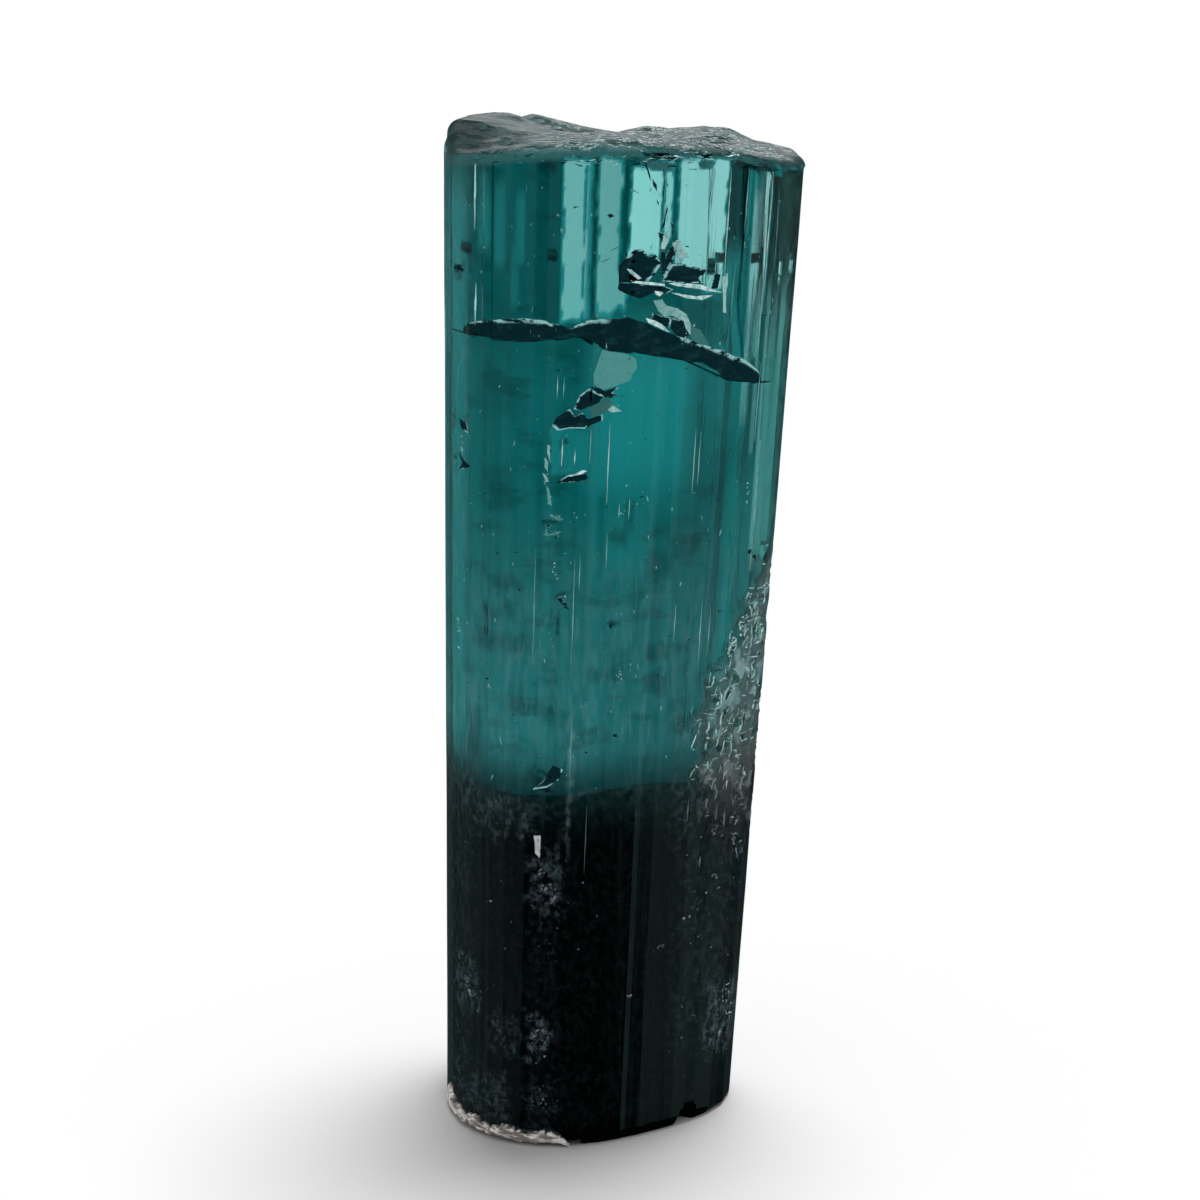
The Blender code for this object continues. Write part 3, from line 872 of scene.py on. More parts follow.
@dataclass(frozen=True)
class GemFinish:
    """See-through teal stone, black at the foot, with painted light in upright windows near the top."""

    ior: float = 1.63
    absorption: Colour = (0.20, 0.80, 0.78, 1.0)
    density: float = 112.0
    upper_tint: Colour = (0.00003, 0.0106, 0.0120, 1.0)
    middle_tint: Colour = (0.0002, 0.0206, 0.0236, 1.0)
    lower_tint: Colour = (0.0030, 0.0310, 0.0370, 1.0)
    painted_window_glow: Colour = (0.0030, 0.108, 0.120, 1.0)
    painted_window_light: Colour = (0.85, 1.0, 0.98, 1.0)
    upper_back_tint: Colour = (0.80, 1.0, 1.0, 1.0)
    back_tint: Colour = (0.30, 1.0, 0.98, 1.0)
    top_tint: Colour = (0.006, 0.022, 0.024, 1.0)
    black_tint: Colour = (0.00002, 0.00004, 0.00005, 1.0)
    lower_heights: Pair = (15.5, 24.0)
    middle_heights: Pair = (26.5, 29.0)
    back_heights: Pair = (24.0, 32.0)
    back_depths: Pair = (-0.5, 1.5)
    cloud_rise: float = 5.0
    painted_shade_loss: float = 0.62
    painted_outline_shade: Ramp = (0.70, 0.94, 1.0, 0.12)
    facet_light_gain: float = 1.1
    facet_light_least: float = 0.30
    broad_gain: float = 0.28
    fine_gain: float = 0.16
    plain_gain: float = 0.84
    patches: Ramp = (0.50, 0.66, 1.0, 0.55)
    zone_height: float = 12.95
    zone_depths: Pair = (-5.0, 4.0)
    zone_back_drop: float = 1.9
    zone_waves: float = 0.7
    zone_sides: Pair = (3.6, 6.2)
    zone_side_rise: float = 0.8
    zone_softness: float = 0.08
    zone_back_softness: float = 1.6
    zone_side_softness: float = 0.8
    zone_dusk: Ramp = (0.0, 2.2, 0.30, 1.0)
    zone_step_left: float = 0.10
    zone_solid_depth: float = 2.2
    dull_heights: Ramp = (24.0, 32.0, 1.0, 0.0)
    dull_depths: Pair = (0.0, 2.0)
    dull_roughness: float = 0.40
    top_roughness: float = 0.20
    etched_roughness: float = 0.25
    plain_roughness: float = 0.06

    def make(self, effects: Effects) -> bpy.types.Material:
        """Make the material.

        Args:
            effects: The shared node groups.

        Returns:
            Material with plain transmission, IOR and absorption, and a tint that changes over the skin.
        """
        made, sheet, shader = start_material("tourmaline")
        shader.inputs["IOR"].default_value = self.ior
        shader.inputs["Transmission Weight"].default_value = 1.0
        spot = effects.spot(sheet)
        sheet.put(self.tint(sheet, effects, spot), shader.inputs["Base Color"])
        sheet.put(self.roughness(sheet, spot), shader.inputs["Roughness"])
        sheet.put(self.relief(sheet, spot), shader.inputs["Normal"])
        inside = sheet.add("ShaderNodeVolumeAbsorption", {"Color": self.absorption, "Density": self.density})
        output = made.node_tree.nodes["Material Output"]
        made.node_tree.links.new(inside.outputs["Volume"], output.inputs["Volume"])
        return made

    def tint(self, sheet: NodeSheet, effects: Effects, spot: Spot) -> Socket:
        """Colour that the skin lets through."""
        # The clear marks are painted light: where they are strong the tint turns to the pale painted window
        # tints.
        clear = sheet.math("MULTIPLY", sheet.mark("clear"), sheet.math("SUBTRACT", 1.0, sheet.mark("top")))
        glow = sheet.math("MULTIPLY", clear, 2.0, clamp=True)
        open_share = sheet.math("MULTIPLY_ADD", clear, 2.0, -1.0, clamp=True)
        body = self.body(sheet, effects, spot)
        front = sheet.mix(open_share, sheet.mix(glow, body, self.painted_window_glow), self.painted_window_light)
        front = sheet.dim(front, self.brightness(sheet))
        back = sheet.mix(sheet.ease(spot["Height"], *self.back_heights), self.back_tint, self.upper_back_tint)
        colour = sheet.mix(sheet.ease(spot["Deep"], *self.back_depths), front, back)
        colour = sheet.mix(sheet.mark("top"), colour, self.top_tint)
        return sheet.mix(self.black(sheet, spot), colour, self.black_tint)

    def body(self, sheet: NodeSheet, effects: Effects, spot: Spot) -> Socket:
        """Colour of the plain stone, changing with height and in clouds, with painted light in upright
        streaks.
        """
        place, height = spot["Place"], spot["Height"]
        clouds = sheet.noise(sheet.stretch(place, 1.0, 1.0, 0.7), 0.35, detail=3.0, rough=0.6)
        uneven = sheet.math("MULTIPLY_ADD", clouds, self.cloud_rise,
                            sheet.math("SUBTRACT", height, self.cloud_rise / 2))
        lower = sheet.mix(sheet.ease(uneven, *self.lower_heights), self.lower_tint, self.middle_tint)
        body = sheet.mix(sheet.ease(height, *self.middle_heights), lower, self.upper_tint)
        broad = sheet.group(effects.streaks, Place=place, Fineness=1.2, Length=9.0,
                            Amount=0.40, Softness=0.25)
        fine = sheet.group(effects.streaks, Place=place, Fineness=4.5, Length=14.0,
                           Amount=0.42, Softness=0.20)
        mottle = sheet.noise(sheet.stretch(place, 0.45, 0.45, 1.3), 1.0, detail=4.0, rough=0.6)
        gain = sheet.math("MULTIPLY_ADD", broad.outputs["Mask"], self.broad_gain, self.plain_gain)
        gain = sheet.math("MULTIPLY_ADD", fine.outputs["Mask"], self.fine_gain, gain)
        return sheet.dim(body, sheet.math("MULTIPLY", gain, sheet.ease(mottle, *self.patches)))

    def brightness(self, sheet: NodeSheet) -> Socket:
        """Share of the front's colour left by painted shade in patches, at the outline and on etched faces.
        """
        lit = sheet.math("MULTIPLY_ADD", sheet.mark("painted_shade"), -self.painted_shade_loss, 1.0)
        # Painted shade towards the outline: the tint darkens where the front is seen nearly edge on, not on
        # inner faces.
        grazing = sheet.add("ShaderNodeLayerWeight", {"Blend": 0.5}).outputs["Facing"]
        inside = sheet.add("ShaderNodeNewGeometry").outputs["Backfacing"]
        outline = sheet.math("MAXIMUM", sheet.ease(grazing, *self.painted_outline_shade), inside)
        # Painted light and shade on the etched faces: each pit's face is made lighter or darker.
        etched = sheet.math("MULTIPLY_ADD", sheet.mark("painted_facet_light"), self.facet_light_gain, 1.0)
        faces = sheet.math("MAXIMUM", etched, self.facet_light_least)
        share = sheet.math("MULTIPLY", sheet.math("MULTIPLY", lit, lit), outline)
        return sheet.math("MULTIPLY", share, faces)

    def black(self, sheet: NodeSheet, spot: Spot) -> Socket:
        """Share of black: dusk above the foot's rim, a step at the rim, and solid a little below it."""
        behind = sheet.ease(spot["Deep"], *self.zone_depths)
        wave = sheet.noise(sheet.stretch(spot["Place"], 1.0, 1.0, 0.1), 0.5, detail=3.0)
        level = sheet.math("MULTIPLY_ADD", behind, -self.zone_back_drop, self.zone_height)
        level = sheet.math("MULTIPLY_ADD", sheet.math("SUBTRACT", wave, 0.5), self.zone_waves, level)
        sides = sheet.ease(sheet.math("ABSOLUTE", spot["Across"]), *self.zone_sides)
        level = sheet.math("MULTIPLY_ADD", sides, self.zone_side_rise, level)
        above = sheet.math("SUBTRACT", spot["Height"], level)
        soft = sheet.math("MULTIPLY_ADD", behind, self.zone_back_softness, self.zone_softness)
        soft = sheet.math("MULTIPLY_ADD", sides, self.zone_side_softness, soft)
        step = sheet.ease(above, sheet.math("MULTIPLY", soft, -1.0), soft, self.zone_step_left)
        deep = sheet.ease(above, -self.zone_solid_depth, 0.0)
        left = sheet.math("MULTIPLY", sheet.ease(above, *self.zone_dusk), sheet.math("MULTIPLY", step, deep))
        return sheet.math("SUBTRACT", 1.0, left)

    def roughness(self, sheet: NodeSheet, spot: Spot) -> Socket:
        """Glassy at the front and top, dull at the back below the main fracture and where it is etched."""
        low = sheet.ease(spot["Height"], *self.dull_heights)
        dull = sheet.math("MULTIPLY", sheet.ease(spot["Deep"], *self.dull_depths), low)
        front = sheet.math("MULTIPLY_ADD", sheet.mark("etch"), self.etched_roughness, self.plain_roughness)
        top = sheet.math("MULTIPLY", sheet.mark("top"), self.top_roughness)
        front = sheet.math("MAXIMUM", front, top)
        return sheet.math("MAXIMUM", sheet.math("MULTIPLY", dull, self.dull_roughness), front)

    def relief(self, sheet: NodeSheet, spot: Spot) -> Socket:
        """Fine upright grooves."""
        fine = sheet.noise(sheet.stretch(spot["Place"], 1.0, 1.0, 0.03), 7.0, detail=3.0)
        return sheet.bump(fine, strength=0.20, height=0.03)


@dataclass(frozen=True)
class CrackFinish:
    """Dark glossy face of a crack inside the stone, with a painted highlight along parts of its rim."""

    # Near-black faces: painted dark reflection, for the dark that the crack reflects.
    deep: Colour = (0.0004, 0.016, 0.021, 1.0)
    light: Colour = (0.003, 0.036, 0.042, 1.0)
    # Pale painted highlight along parts of the rim.
    rim: Colour = (0.30, 0.60, 0.60, 1.0)
    specular: float = 0.05
    fade_gain: float = 0.04
    light_mottle: Pair = (0.50, 0.70)
    rim_highlight_start: Ramp = (0.78, 0.92, 0.0, 0.8)
    rim_highlight_mottle: Pair = (0.46, 0.52)
    roughness: Ramp = (0.3, 0.7, 0.25, 0.55)

    def make(self, effects: Effects) -> bpy.types.Material:
        """Make the material."""
        made, sheet, shader = start_material("dark_crack")
        shader.inputs["Specular IOR Level"].default_value = self.specular
        place = effects.spot(sheet)["Place"]
        mottle = sheet.noise(sheet.stretch(place, 0.7, 0.7, 1.8), 2.4, detail=4.0, rough=0.7)
        pale = sheet.math("MULTIPLY_ADD", sheet.mark("fade"), self.fade_gain, mottle)
        face = sheet.mix(sheet.ease(pale, *self.light_mottle), self.deep, self.light)
        lit = sheet.math("MULTIPLY", sheet.ease(sheet.mark("rim"), *self.rim_highlight_start),
                         sheet.ease(mottle, *self.rim_highlight_mottle))
        sheet.put(sheet.mix(lit, face, self.rim), shader.inputs["Base Color"])
        sheet.put(sheet.ease(mottle, *self.roughness), shader.inputs["Roughness"])
        return made


@dataclass(frozen=True)
class FleckAndGlintFinish:
    """Pale face on the surface: chips, and painted glints and highlights, dimmed as painted shade below 0
    brightness.
    """

    shade: Colour = (0.048, 0.245, 0.235, 1.0)
    light: Colour = (0.60, 0.80, 0.78, 1.0)
    black_zone_shade: Colour = (0.040, 0.056, 0.062, 1.0)
    black_zone_light: Colour = (0.42, 0.48, 0.50, 1.0)
    black_zone: Ramp = (12.0, 14.0, 1.0, 0.0)
    specular: float = 0.2
    shown: Ramp = (0.30, 0.62, 0.35, 1.1)
    roughness: Ramp = (0.3, 0.7, 0.30, 0.60)

    def make(self, effects: Effects) -> bpy.types.Material:
        """Make the material."""
        made, sheet, shader = start_material("pale_fleck_and_glint")
        shader.inputs["Specular IOR Level"].default_value = self.specular
        spot = effects.spot(sheet)
        low = sheet.ease(spot["Height"], *self.black_zone)
        dull = sheet.math("ADD", 1.0, sheet.math("MINIMUM", sheet.mark("brightness"), 0.0))
        shade = sheet.mix(low, sheet.dim(self.shade, dull), self.black_zone_shade)
        light = sheet.mix(low, self.light, self.black_zone_light)
        mottle = sheet.noise(spot["Place"], 5.0, detail=3.0, rough=0.6)
        lift = sheet.math("MULTIPLY", sheet.ease(mottle, *self.shown), sheet.mark("brightness"), clamp=True)
        sheet.put(sheet.mix(lift, shade, light), shader.inputs["Base Color"])
        sheet.put(sheet.ease(mottle, *self.roughness), shader.inputs["Roughness"])
        return made


@dataclass(frozen=True)
class WearAndSheenFinish:
    """Thin pale film: scuffs, etching, painted reflections on the sides and painted sheen on the broken top.
    """

    # Pale teal of the scuffs and of the painted reflections on the sides, grey in the black zone, pale grey
    # when etched.
    colour: Colour = (0.24, 0.46, 0.47, 1.0)
    grey: Colour = (0.11, 0.175, 0.215, 1.0)
    etched: Colour = (0.42, 0.50, 0.51, 1.0)
    # Grey of the broken top's painted sheen, and pale of the painted highlights along its crests.
    top_sheen_colour: Colour = (0.085, 0.125, 0.13, 1.0)
    crest_highlight: Colour = (0.42, 0.47, 0.47, 1.0)
    roughness: float = 0.6
    black_zone: Ramp = (12.0, 15.0, 1.0, 0.0)
    lower_scuffs: Ramp = (0.44, 0.64, 0.04, 2.2)
    upper_scuffs: Ramp = (0.40, 0.66, 0.10, 1.6)
    lit_etched_faces: float = 0.30
    etched_ground: Ramp = (10.5, 14.0, 0.03, 0.13)
    # Painted sheen on the broken top: fainter to the left, in blots, never below a faint film, and pale along
    # its crests.
    top_sheen_left_fade: Ramp = (-5.6, -0.5, 0.25, 1.0)
    top_sheen_bloom: Ramp = (0.36, 0.64, 0.02, 0.62)
    top_sheen_least: float = 0.05
    crest_highlight_lines: Ramp = (0.003, 0.022, 0.65, 0.0)
    crest_highlight_gain: float = 1.5

    def make(self, effects: Effects) -> bpy.types.Material:
        """Make the material."""
        made, sheet, shader = start_material("surface_wear_and_sheen")
        shader.inputs["Roughness"].default_value = self.roughness
        spot = effects.spot(sheet)
        low = sheet.ease(spot["Height"], *self.black_zone)
        plain = sheet.mix(sheet.mark("etch"), sheet.mix(low, self.colour, self.grey), self.etched)
        crest_highlight, top_sheen = self.top(sheet, spot)
        highlighted_crest = sheet.math("MULTIPLY", crest_highlight, self.crest_highlight_gain, clamp=True)
        broken = sheet.mix(highlighted_crest, self.top_sheen_colour, self.crest_highlight)
        sheet.put(sheet.mix(sheet.mark("top"), plain, broken), shader.inputs["Base Color"])
        film = sheet.math("MAXIMUM", self.scuffs(sheet, spot, low), self.haze(sheet, spot), clamp=True)
        sheet.put(sheet.math("MAXIMUM", film, top_sheen), shader.inputs["Alpha"])
        return made

    def scuffs(self, sheet: NodeSheet, spot: Spot, low: Socket) -> Socket:
        """Strength of the film on the sides, in round blots in the black zone and long ones above it."""
        long_grain = sheet.noise(sheet.stretch(spot["Place"], 1.0, 1.0, 0.30), 4.0, detail=5.0, rough=0.75)
        round_grain = sheet.noise(spot["Place"], 3.4, detail=6.0, rough=0.78)
        lower = sheet.math("MULTIPLY", low, sheet.ease(round_grain, *self.lower_scuffs))
        upper = sheet.math("MULTIPLY", sheet.math("SUBTRACT", 1.0, low),
                           sheet.ease(long_grain, *self.upper_scuffs))
        return sheet.math("MULTIPLY", sheet.mark("wear"), sheet.math("ADD", lower, upper))

    def haze(self, sheet: NodeSheet, spot: Spot) -> Socket:
        """Strength of the film on the etched patch, strongest on the faces with painted light."""
        faces = sheet.math("MULTIPLY", sheet.mark("painted_facet_light"), self.lit_etched_faces, clamp=True)
        ground = sheet.ease(spot["Height"], *self.etched_ground)
        return sheet.math("MULTIPLY_ADD", sheet.mark("etch"), ground, faces)

    def top(self, sheet: NodeSheet, spot: Spot) -> tuple[Socket, Socket]:
        """Strength of the painted highlights along the top's crests, and of its whole painted sheen."""
        bloom = sheet.noise(sheet.stretch(spot["Place"], 0.6, 1.2, 1.2), 1.6, detail=5.0, rough=0.65)
        lighter = sheet.ease(spot["Across"], *self.top_sheen_left_fade)
        flat = sheet.math("MULTIPLY", sheet.mark("flat"), lighter)
        top_sheen = sheet.math("MULTIPLY", flat, sheet.ease(bloom, *self.top_sheen_bloom))
        ripple = sheet.math("ABSOLUTE", sheet.math("SUBTRACT", bloom, 0.5))
        crest_highlight = sheet.math("MULTIPLY", sheet.ease(ripple, *self.crest_highlight_lines), flat)
        least = sheet.math("MULTIPLY", sheet.mark("top"), self.top_sheen_least)
        return crest_highlight, sheet.math("MAXIMUM", sheet.math("MAXIMUM", top_sheen, least), crest_highlight)


@dataclass(frozen=True)
class SkinMarks:
    """Everything that is painted or scuffed on the front of the skin, painted light and shade among it."""

    window_count: int = 6
    # Painted light: clear marks make the tint pale in the windows, in broad lighter patches and down the
    # right side.
    clear: tuple[Mark, ...] = (
        Mark(-1.88, -1.14, 29.20, 34.58, 0.63, 0.08, 0.25, 0.20),
        Mark(-1.14, -0.96, 29.25, 34.58, 0.54, 0.05, 0.20, 0.04),
        Mark(-0.72, 0.02, 29.45, 34.56, 0.58, 0.08, 0.20, 0.24),
        Mark(0.34, 1.36, 31.20, 34.30, 0.84, 0.07, 0.20, 0.22),
        Mark(1.46, 1.72, 31.80, 34.40, 0.76, 0.06, 0.20, 0.08),
        Mark(1.94, 3.56, 30.60, 34.50, 0.79, 0.08, 0.25, 0.20),
        Mark(-0.72, 0.34, 29.40, 31.00, 0.58, 0.10, 0.20, 0.24),
        Mark(2.90, 3.58, 29.95, 30.80, 0.70, 0.08, 0.20, 0.12),
        Mark(4.28, 4.40, 31.60, 34.10, 0.30, 0.08, 0.30),
        Mark(-4.73, -4.36, 31.45, 33.90, 0.16, 0.10, 0.60),
        Mark(-4.17, -3.83, 30.85, 33.60, 0.12, 0.10, 0.60),
        Mark(-3.45, -3.15, 31.00, 33.30, 0.12, 0.10, 0.60),
        Mark(-3.60, -3.35, 29.60, 31.60, 0.08, 0.10, 0.60),
        Mark(-0.60, 2.80, 23.60, 28.40, 0.42, 1.60, 3.50),
        Mark(-2.10, -0.76, 24.05, 25.55, 0.22, 0.08, 0.15, 0.15),
        Mark(-0.60, 1.40, 20.60, 23.60, 0.10, 0.50, 1.00),
        Mark(2.80, 5.60, 24.50, 29.50, 0.16, 1.20, 3.00),
        Mark(3.60, 4.50, 25.00, 31.40, 0.22, 0.30, 1.50),
        Mark(4.80, 5.10, 27.40, 33.90, 0.84, 0.08, 0.60),
        Mark(4.93, 5.16, 24.00, 27.60, 0.60, 0.08, 0.60),
        Mark(5.18, 5.36, 19.80, 24.20, 0.50, 0.08, 0.60),
        Mark(4.50, 4.86, 24.50, 34.00, 0.62, 0.12, 3.00),
        Mark(5.24, 7.20, 20.00, 33.60, 1.00, 0.30, 3.00),
        Mark(4.40, 7.20, 12.50, 24.00, 0.50, 0.80, 3.00),
        Mark(-6.60, -5.20, 12.50, 33.80, 0.22, 0.40, 3.00),
    )
    # Painted shade: dark patches, among them shadows under the fractures, that darken the front's tint.
    painted_shade: tuple[Mark, ...] = (
        Mark(-2.80, -2.02, 28.90, 34.60, 0.35, 0.20, 0.40),
        Mark(-2.70, -2.12, 33.90, 34.45, 0.80, 0.12, 0.20, 0.2),
        Mark(3.62, 4.26, 31.20, 34.20, 0.85, 0.10, 1.40),
        Mark(-0.94, -0.75, 29.40, 34.40, 0.40, 0.06, 0.50),
        Mark(0.08, 0.28, 31.30, 34.40, 0.50, 0.06, 0.50),
        Mark(1.95, 3.95, 28.10, 29.75, 0.45, 0.30, 0.50, 0.3),
        Mark(-3.95, -3.00, 20.00, 20.45, 0.55, 0.25, 0.25, 0.2),
        Mark(-4.80, -2.60, 17.75, 18.50, 0.50, 0.35, 0.40, 0.2),
        Mark(1.48, 2.45, 17.35, 18.00, 0.55, 0.30, 0.35, 0.2),
        Mark(1.50, 2.50, 16.20, 16.85, 0.60, 0.25, 0.25, 0.2),
        Mark(2.85, 3.50, 14.60, 15.20, 0.65, 0.25, 0.30, 0.2),
        Mark(0.05, 0.70, 21.65, 22.05, 0.60, 0.20, 0.20, 0.2),
        Mark(0.55, 0.95, 22.00, 23.10, 0.45, 0.10, 0.20, 0.1),
        Mark(1.45, 2.55, 20.30, 21.20, 0.45, 0.30, 0.40, 0.2),
        Mark(-5.00, -4.50, 13.80, 15.60, 0.60, 0.25, 0.60, 0.2),
        Mark(-4.40, -3.30, 19.00, 19.50, 0.40, 0.40, 0.30, 0.3),
        Mark(-3.60, -1.60, 15.60, 16.20, 0.45, 0.50, 0.35, 0.4),
        Mark(-0.60, 0.90, 16.90, 17.30, 0.40, 0.40, 0.25, 0.3),
        Mark(-1.40, 0.40, 14.60, 15.10, 0.40, 0.50, 0.30, 0.4),
        Mark(2.20, 3.40, 20.90, 21.60, 0.40, 0.40, 0.40, 0.3),
        Mark(-4.60, -3.40, 23.00, 24.20, 0.35, 0.50, 0.60, 0.4),
        Mark(-4.80, -3.00, 25.80, 27.20, 0.30, 0.60, 0.80, 0.4),
        Mark(-5.80, -4.10, 33.00, 34.60, 0.40, 0.50, 0.90, 0.3),
        Mark(-0.40, -0.10, 20.50, 23.40, 0.45, 0.20, 0.60, 0.1),
        Mark(-2.60, -2.35, 19.50, 25.00, 0.30, 0.12, 1.00, 0.1),
    )
    # Scuffs and grey smudges, and painted reflections: veils down the left and right edges, also in the black
    # zone, and lighter right facets near the top.
    wear: tuple[Mark, ...] = (
        Mark(-6.70, 6.90, 12.60, 21.00, 0.06, 0.50, 6.00, 0.60),
        # Painted reflection: grey veil down the left edge.
        Mark(-6.90, -5.10, 12.50, 34.00, 0.085, 0.90, 2.00, 0.50),
        # Painted light on the right facets near the top.
        Mark(5.35, 6.90, 27.50, 34.00, 0.045, 0.40, 1.50, 0.30),
        Mark(-2.60, -1.30, 8.50, 10.90, 0.13, 0.60, 0.90, 0.90),
        Mark(-2.60, -1.60, 3.70, 4.70, 0.19, 0.50, 0.60, 0.90),
        Mark(-2.50, -1.30, 1.10, 2.40, 0.10, 0.60, 0.80, 0.90),
        Mark(-2.80, -1.00, 0.60, 12.20, 0.02, 0.80, 1.00, 0.60),
        Mark(-4.20, -2.90, 3.30, 4.80, 0.09, 0.40, 0.60, 0.60),
        Mark(-5.50, -4.50, 4.50, 6.20, 0.16, 0.40, 0.60, 0.60),
        # Painted reflection: grey veil on the right of the black zone.
        Mark(3.20, 6.40, 2.60, 12.00, 0.045, 1.40, 3.00, 0.40),
        Mark(4.90, 6.60, 2.40, 5.00, 0.22, 0.40, 0.60, 0.60),
        Mark(-5.80, -3.20, 0.60, 2.40, 0.10, 0.60, 0.60, 0.60),
        Mark(-6.40, 6.40, 0.60, 13.00, 0.012, 0.40, 1.00, 0.40),
        # Painted reflection: grey veil down the left edge of the black zone.
        Mark(-6.30, -4.80, 0.00, 12.50, 0.05, 0.80, 3.00, 0.30),
        Mark(-1.18, -1.00, 10.30, 16.40, 0.12, 0.10, 1.20, 0.04),
        Mark(-1.23, -0.92, 13.06, 15.70, 0.20, 0.15, 0.50, 0.05),
        Mark(-0.95, 2.50, 12.82, 13.00, 0.10, 0.40, 0.10, 0.05),
        Mark(-4.80, -2.60, 12.10, 12.90, 0.07, 0.40, 0.30, 0.30),
        Mark(-6.80, -4.60, 11.00, 17.00, 0.11, 1.20, 3.00, 0.50),
        Mark(-4.80, -2.40, 11.20, 12.80, 0.10, 0.60, 0.70, 0.60),
        Mark(2.80, 4.40, 10.80, 15.50, 0.08, 0.60, 1.80, 0.50),
    )

    def windows(self) -> tuple[Mark, ...]:
        """The clear marks that are windows of light, which come first."""
        return self.clear[:self.window_count]


@dataclass
class SkinPaint:
    """Works out the skin's marks at each of its points and stores them as attributes."""

    stone: Stone
    piece: bpy.types.Object
    coarse_rate: float = 1.7
    fine_rate: float = 4.5
    side_tear: float = 0.35
    front_fade: float = 2.4
    smooth_degrees: float = 8.0
    top_above: float = 30.0
    top_facing: Pair = (0.06, 0.22)
    flat_facing: Pair = (0.62, 0.30)

    def __post_init__(self) -> None:
        """Smooth the skin between its ridges and read its points."""
        only(self.piece)
        bpy.ops.object.shade_smooth_by_angle(angle=math.radians(self.smooth_degrees))
        flat = np.empty(3 * len(self.piece.data.vertices), dtype=np.float32)
        self.piece.data.vertices.foreach_get("co", flat)
        x, y, z = flat.reshape(-1, 3).T / MM
        scale, shift = self.stone.prism.taper(z)
        self.across = (x - shift) / scale
        self.height = z
        torn = [self.tear(vertex.co / MM) for vertex in self.piece.data.vertices]
        self.torn = np.array(torn, dtype=np.float32)
        self.front = np.clip(0.5 - (y + self.torn[:, 0]) / self.front_fade, 0.0, 1.0)

    def tear(self, place: Vector) -> tuple[float, float]:
        """Shift that makes a soft edge ragged at a place."""
        coarse = noise.noise_vector(place * self.coarse_rate)
        fine = noise.noise_vector(place * self.fine_rate)
        return coarse.x + 0.6 * fine.x, coarse.z + 0.6 * fine.z

    def layer(self, name: str, marks: Iterable[Mark]) -> None:
        """Store the strongest of some marks at each point.

        Args:
            name: Name of the attribute.
            marks: The marks that it holds.
        """
        total = np.zeros(len(self.height), dtype=np.float32)
        for mark in marks:
            across = self.across + self.side_tear * mark.ragged * self.torn[:, 0]
            height = self.height + mark.ragged * self.torn[:, 1]
            total = np.maximum(total, mark.strength_at(across, height))
        self.store(name, total * self.front)

    def store(self, name: str, values: np.ndarray) -> None:
        """Keep one value for each point in an attribute."""
        new_attribute(self.piece, name).data.foreach_set("value", values.astype(np.float32))

    def etched(self) -> None:
        """Store where the skin is etched, and the painted light and shade of each etched face, from -1 to 1.
        """
        rows = np.array([self.stone.etch_at(vertex.co / MM) for vertex in self.piece.data.vertices])
        self.store("etch", rows[:, 0])
        self.store("painted_facet_light", rows[:, 0] * rows[:, 2])

    def top(self) -> None:
        """Store where the skin faces up a little, and where it lies nearly level."""
        rise = np.array([vertex.normal.z for vertex in self.piece.data.vertices])
        upper = self.height > self.top_above
        for name, (start, width) in (("top", self.top_facing), ("flat", self.flat_facing)):
            self.store(name, np.clip((rise - start) / width, 0.0, 1.0) * upper)


@dataclass(frozen=True)
class Flake:
    """Small angular flake: its middle on the untapered prism, its half sizes and its lean."""

    across: float
    height: float
    half_width: float
    half_height: float
    lean_degrees: float = 0.0
    brightness: float = 1.0
    corners: int = 6
    shortest: float = 0.55
    longest: float = 1.30

    def outline(self, seed: int) -> list[Pair]:
        """Uneven corners of the flake, in order."""
        lean = math.radians(self.lean_degrees)
        found = []
        for index in range(self.corners):
            spread = noise.cell(Vector((3.1 * seed + 0.5, 1.7 * index + 0.5, 0.5)))
            reach = self.shortest + (self.longest - self.shortest) * spread
            turn = math.tau * index / self.corners
            wide, high = reach * self.half_width * math.cos(turn), reach * self.half_height * math.sin(turn)
            found.append((self.across + wide * math.cos(lean) - high * math.sin(lean),
                          self.height + wide * math.sin(lean) + high * math.cos(lean)))
        return found


@dataclass(frozen=True)
class Shard:
    """Larger flake whose corners on the untapered prism are its own."""

    corner_places: tuple[Pair, ...]
    brightness: float = 1.0

    def outline(self, seed: int) -> list[Pair]:
        """Corners of the shard, in order."""
        return list(self.corner_places)


def upright_line(across: float, low: float, high: float, brightness: float) -> Shard:
    """Thin upright painted highlight along a ridge, widest at its middle, and the wider the brighter it is.
    """
    half, middle = 0.014 + 0.006 * brightness, (low + high) / 2
    return Shard(((across - half / 2, low), (across + half, middle), (across + half / 2, high),
                  (across - half, middle)), brightness)


class Surface:
    """Finds the true front of the skin, with its ridges and hollows."""

    def __init__(self, stone: Stone, skin: bpy.types.Object) -> None:
        """Make the skin ready for rays."""
        self.stone = stone
        self.tree = BVHTree.FromObject(skin, bpy.context.evaluated_depsgraph_get())

    def point(self, across: float, z: float, lift: float = 0.0) -> Vector:
        """Point on the front of the skin.

        Args:
            across: Place across the untapered prism.
            z: Height.
            lift: Distance off the skin.

        Returns:
            The point, in millimetres.
        """
        scale, shift = self.stone.prism.taper(z)
        degrees = self.stone.degrees_at(across * scale + shift, z)
        outward = self.stone.outward(degrees, z)
        aim = self.stone.side(degrees, z)
        hit = self.tree.ray_cast((aim + outward) * MM, -outward)[0]
        found = aim if hit is None or (hit / MM - aim).length > 0.8 else hit / MM
        return found + outward * lift


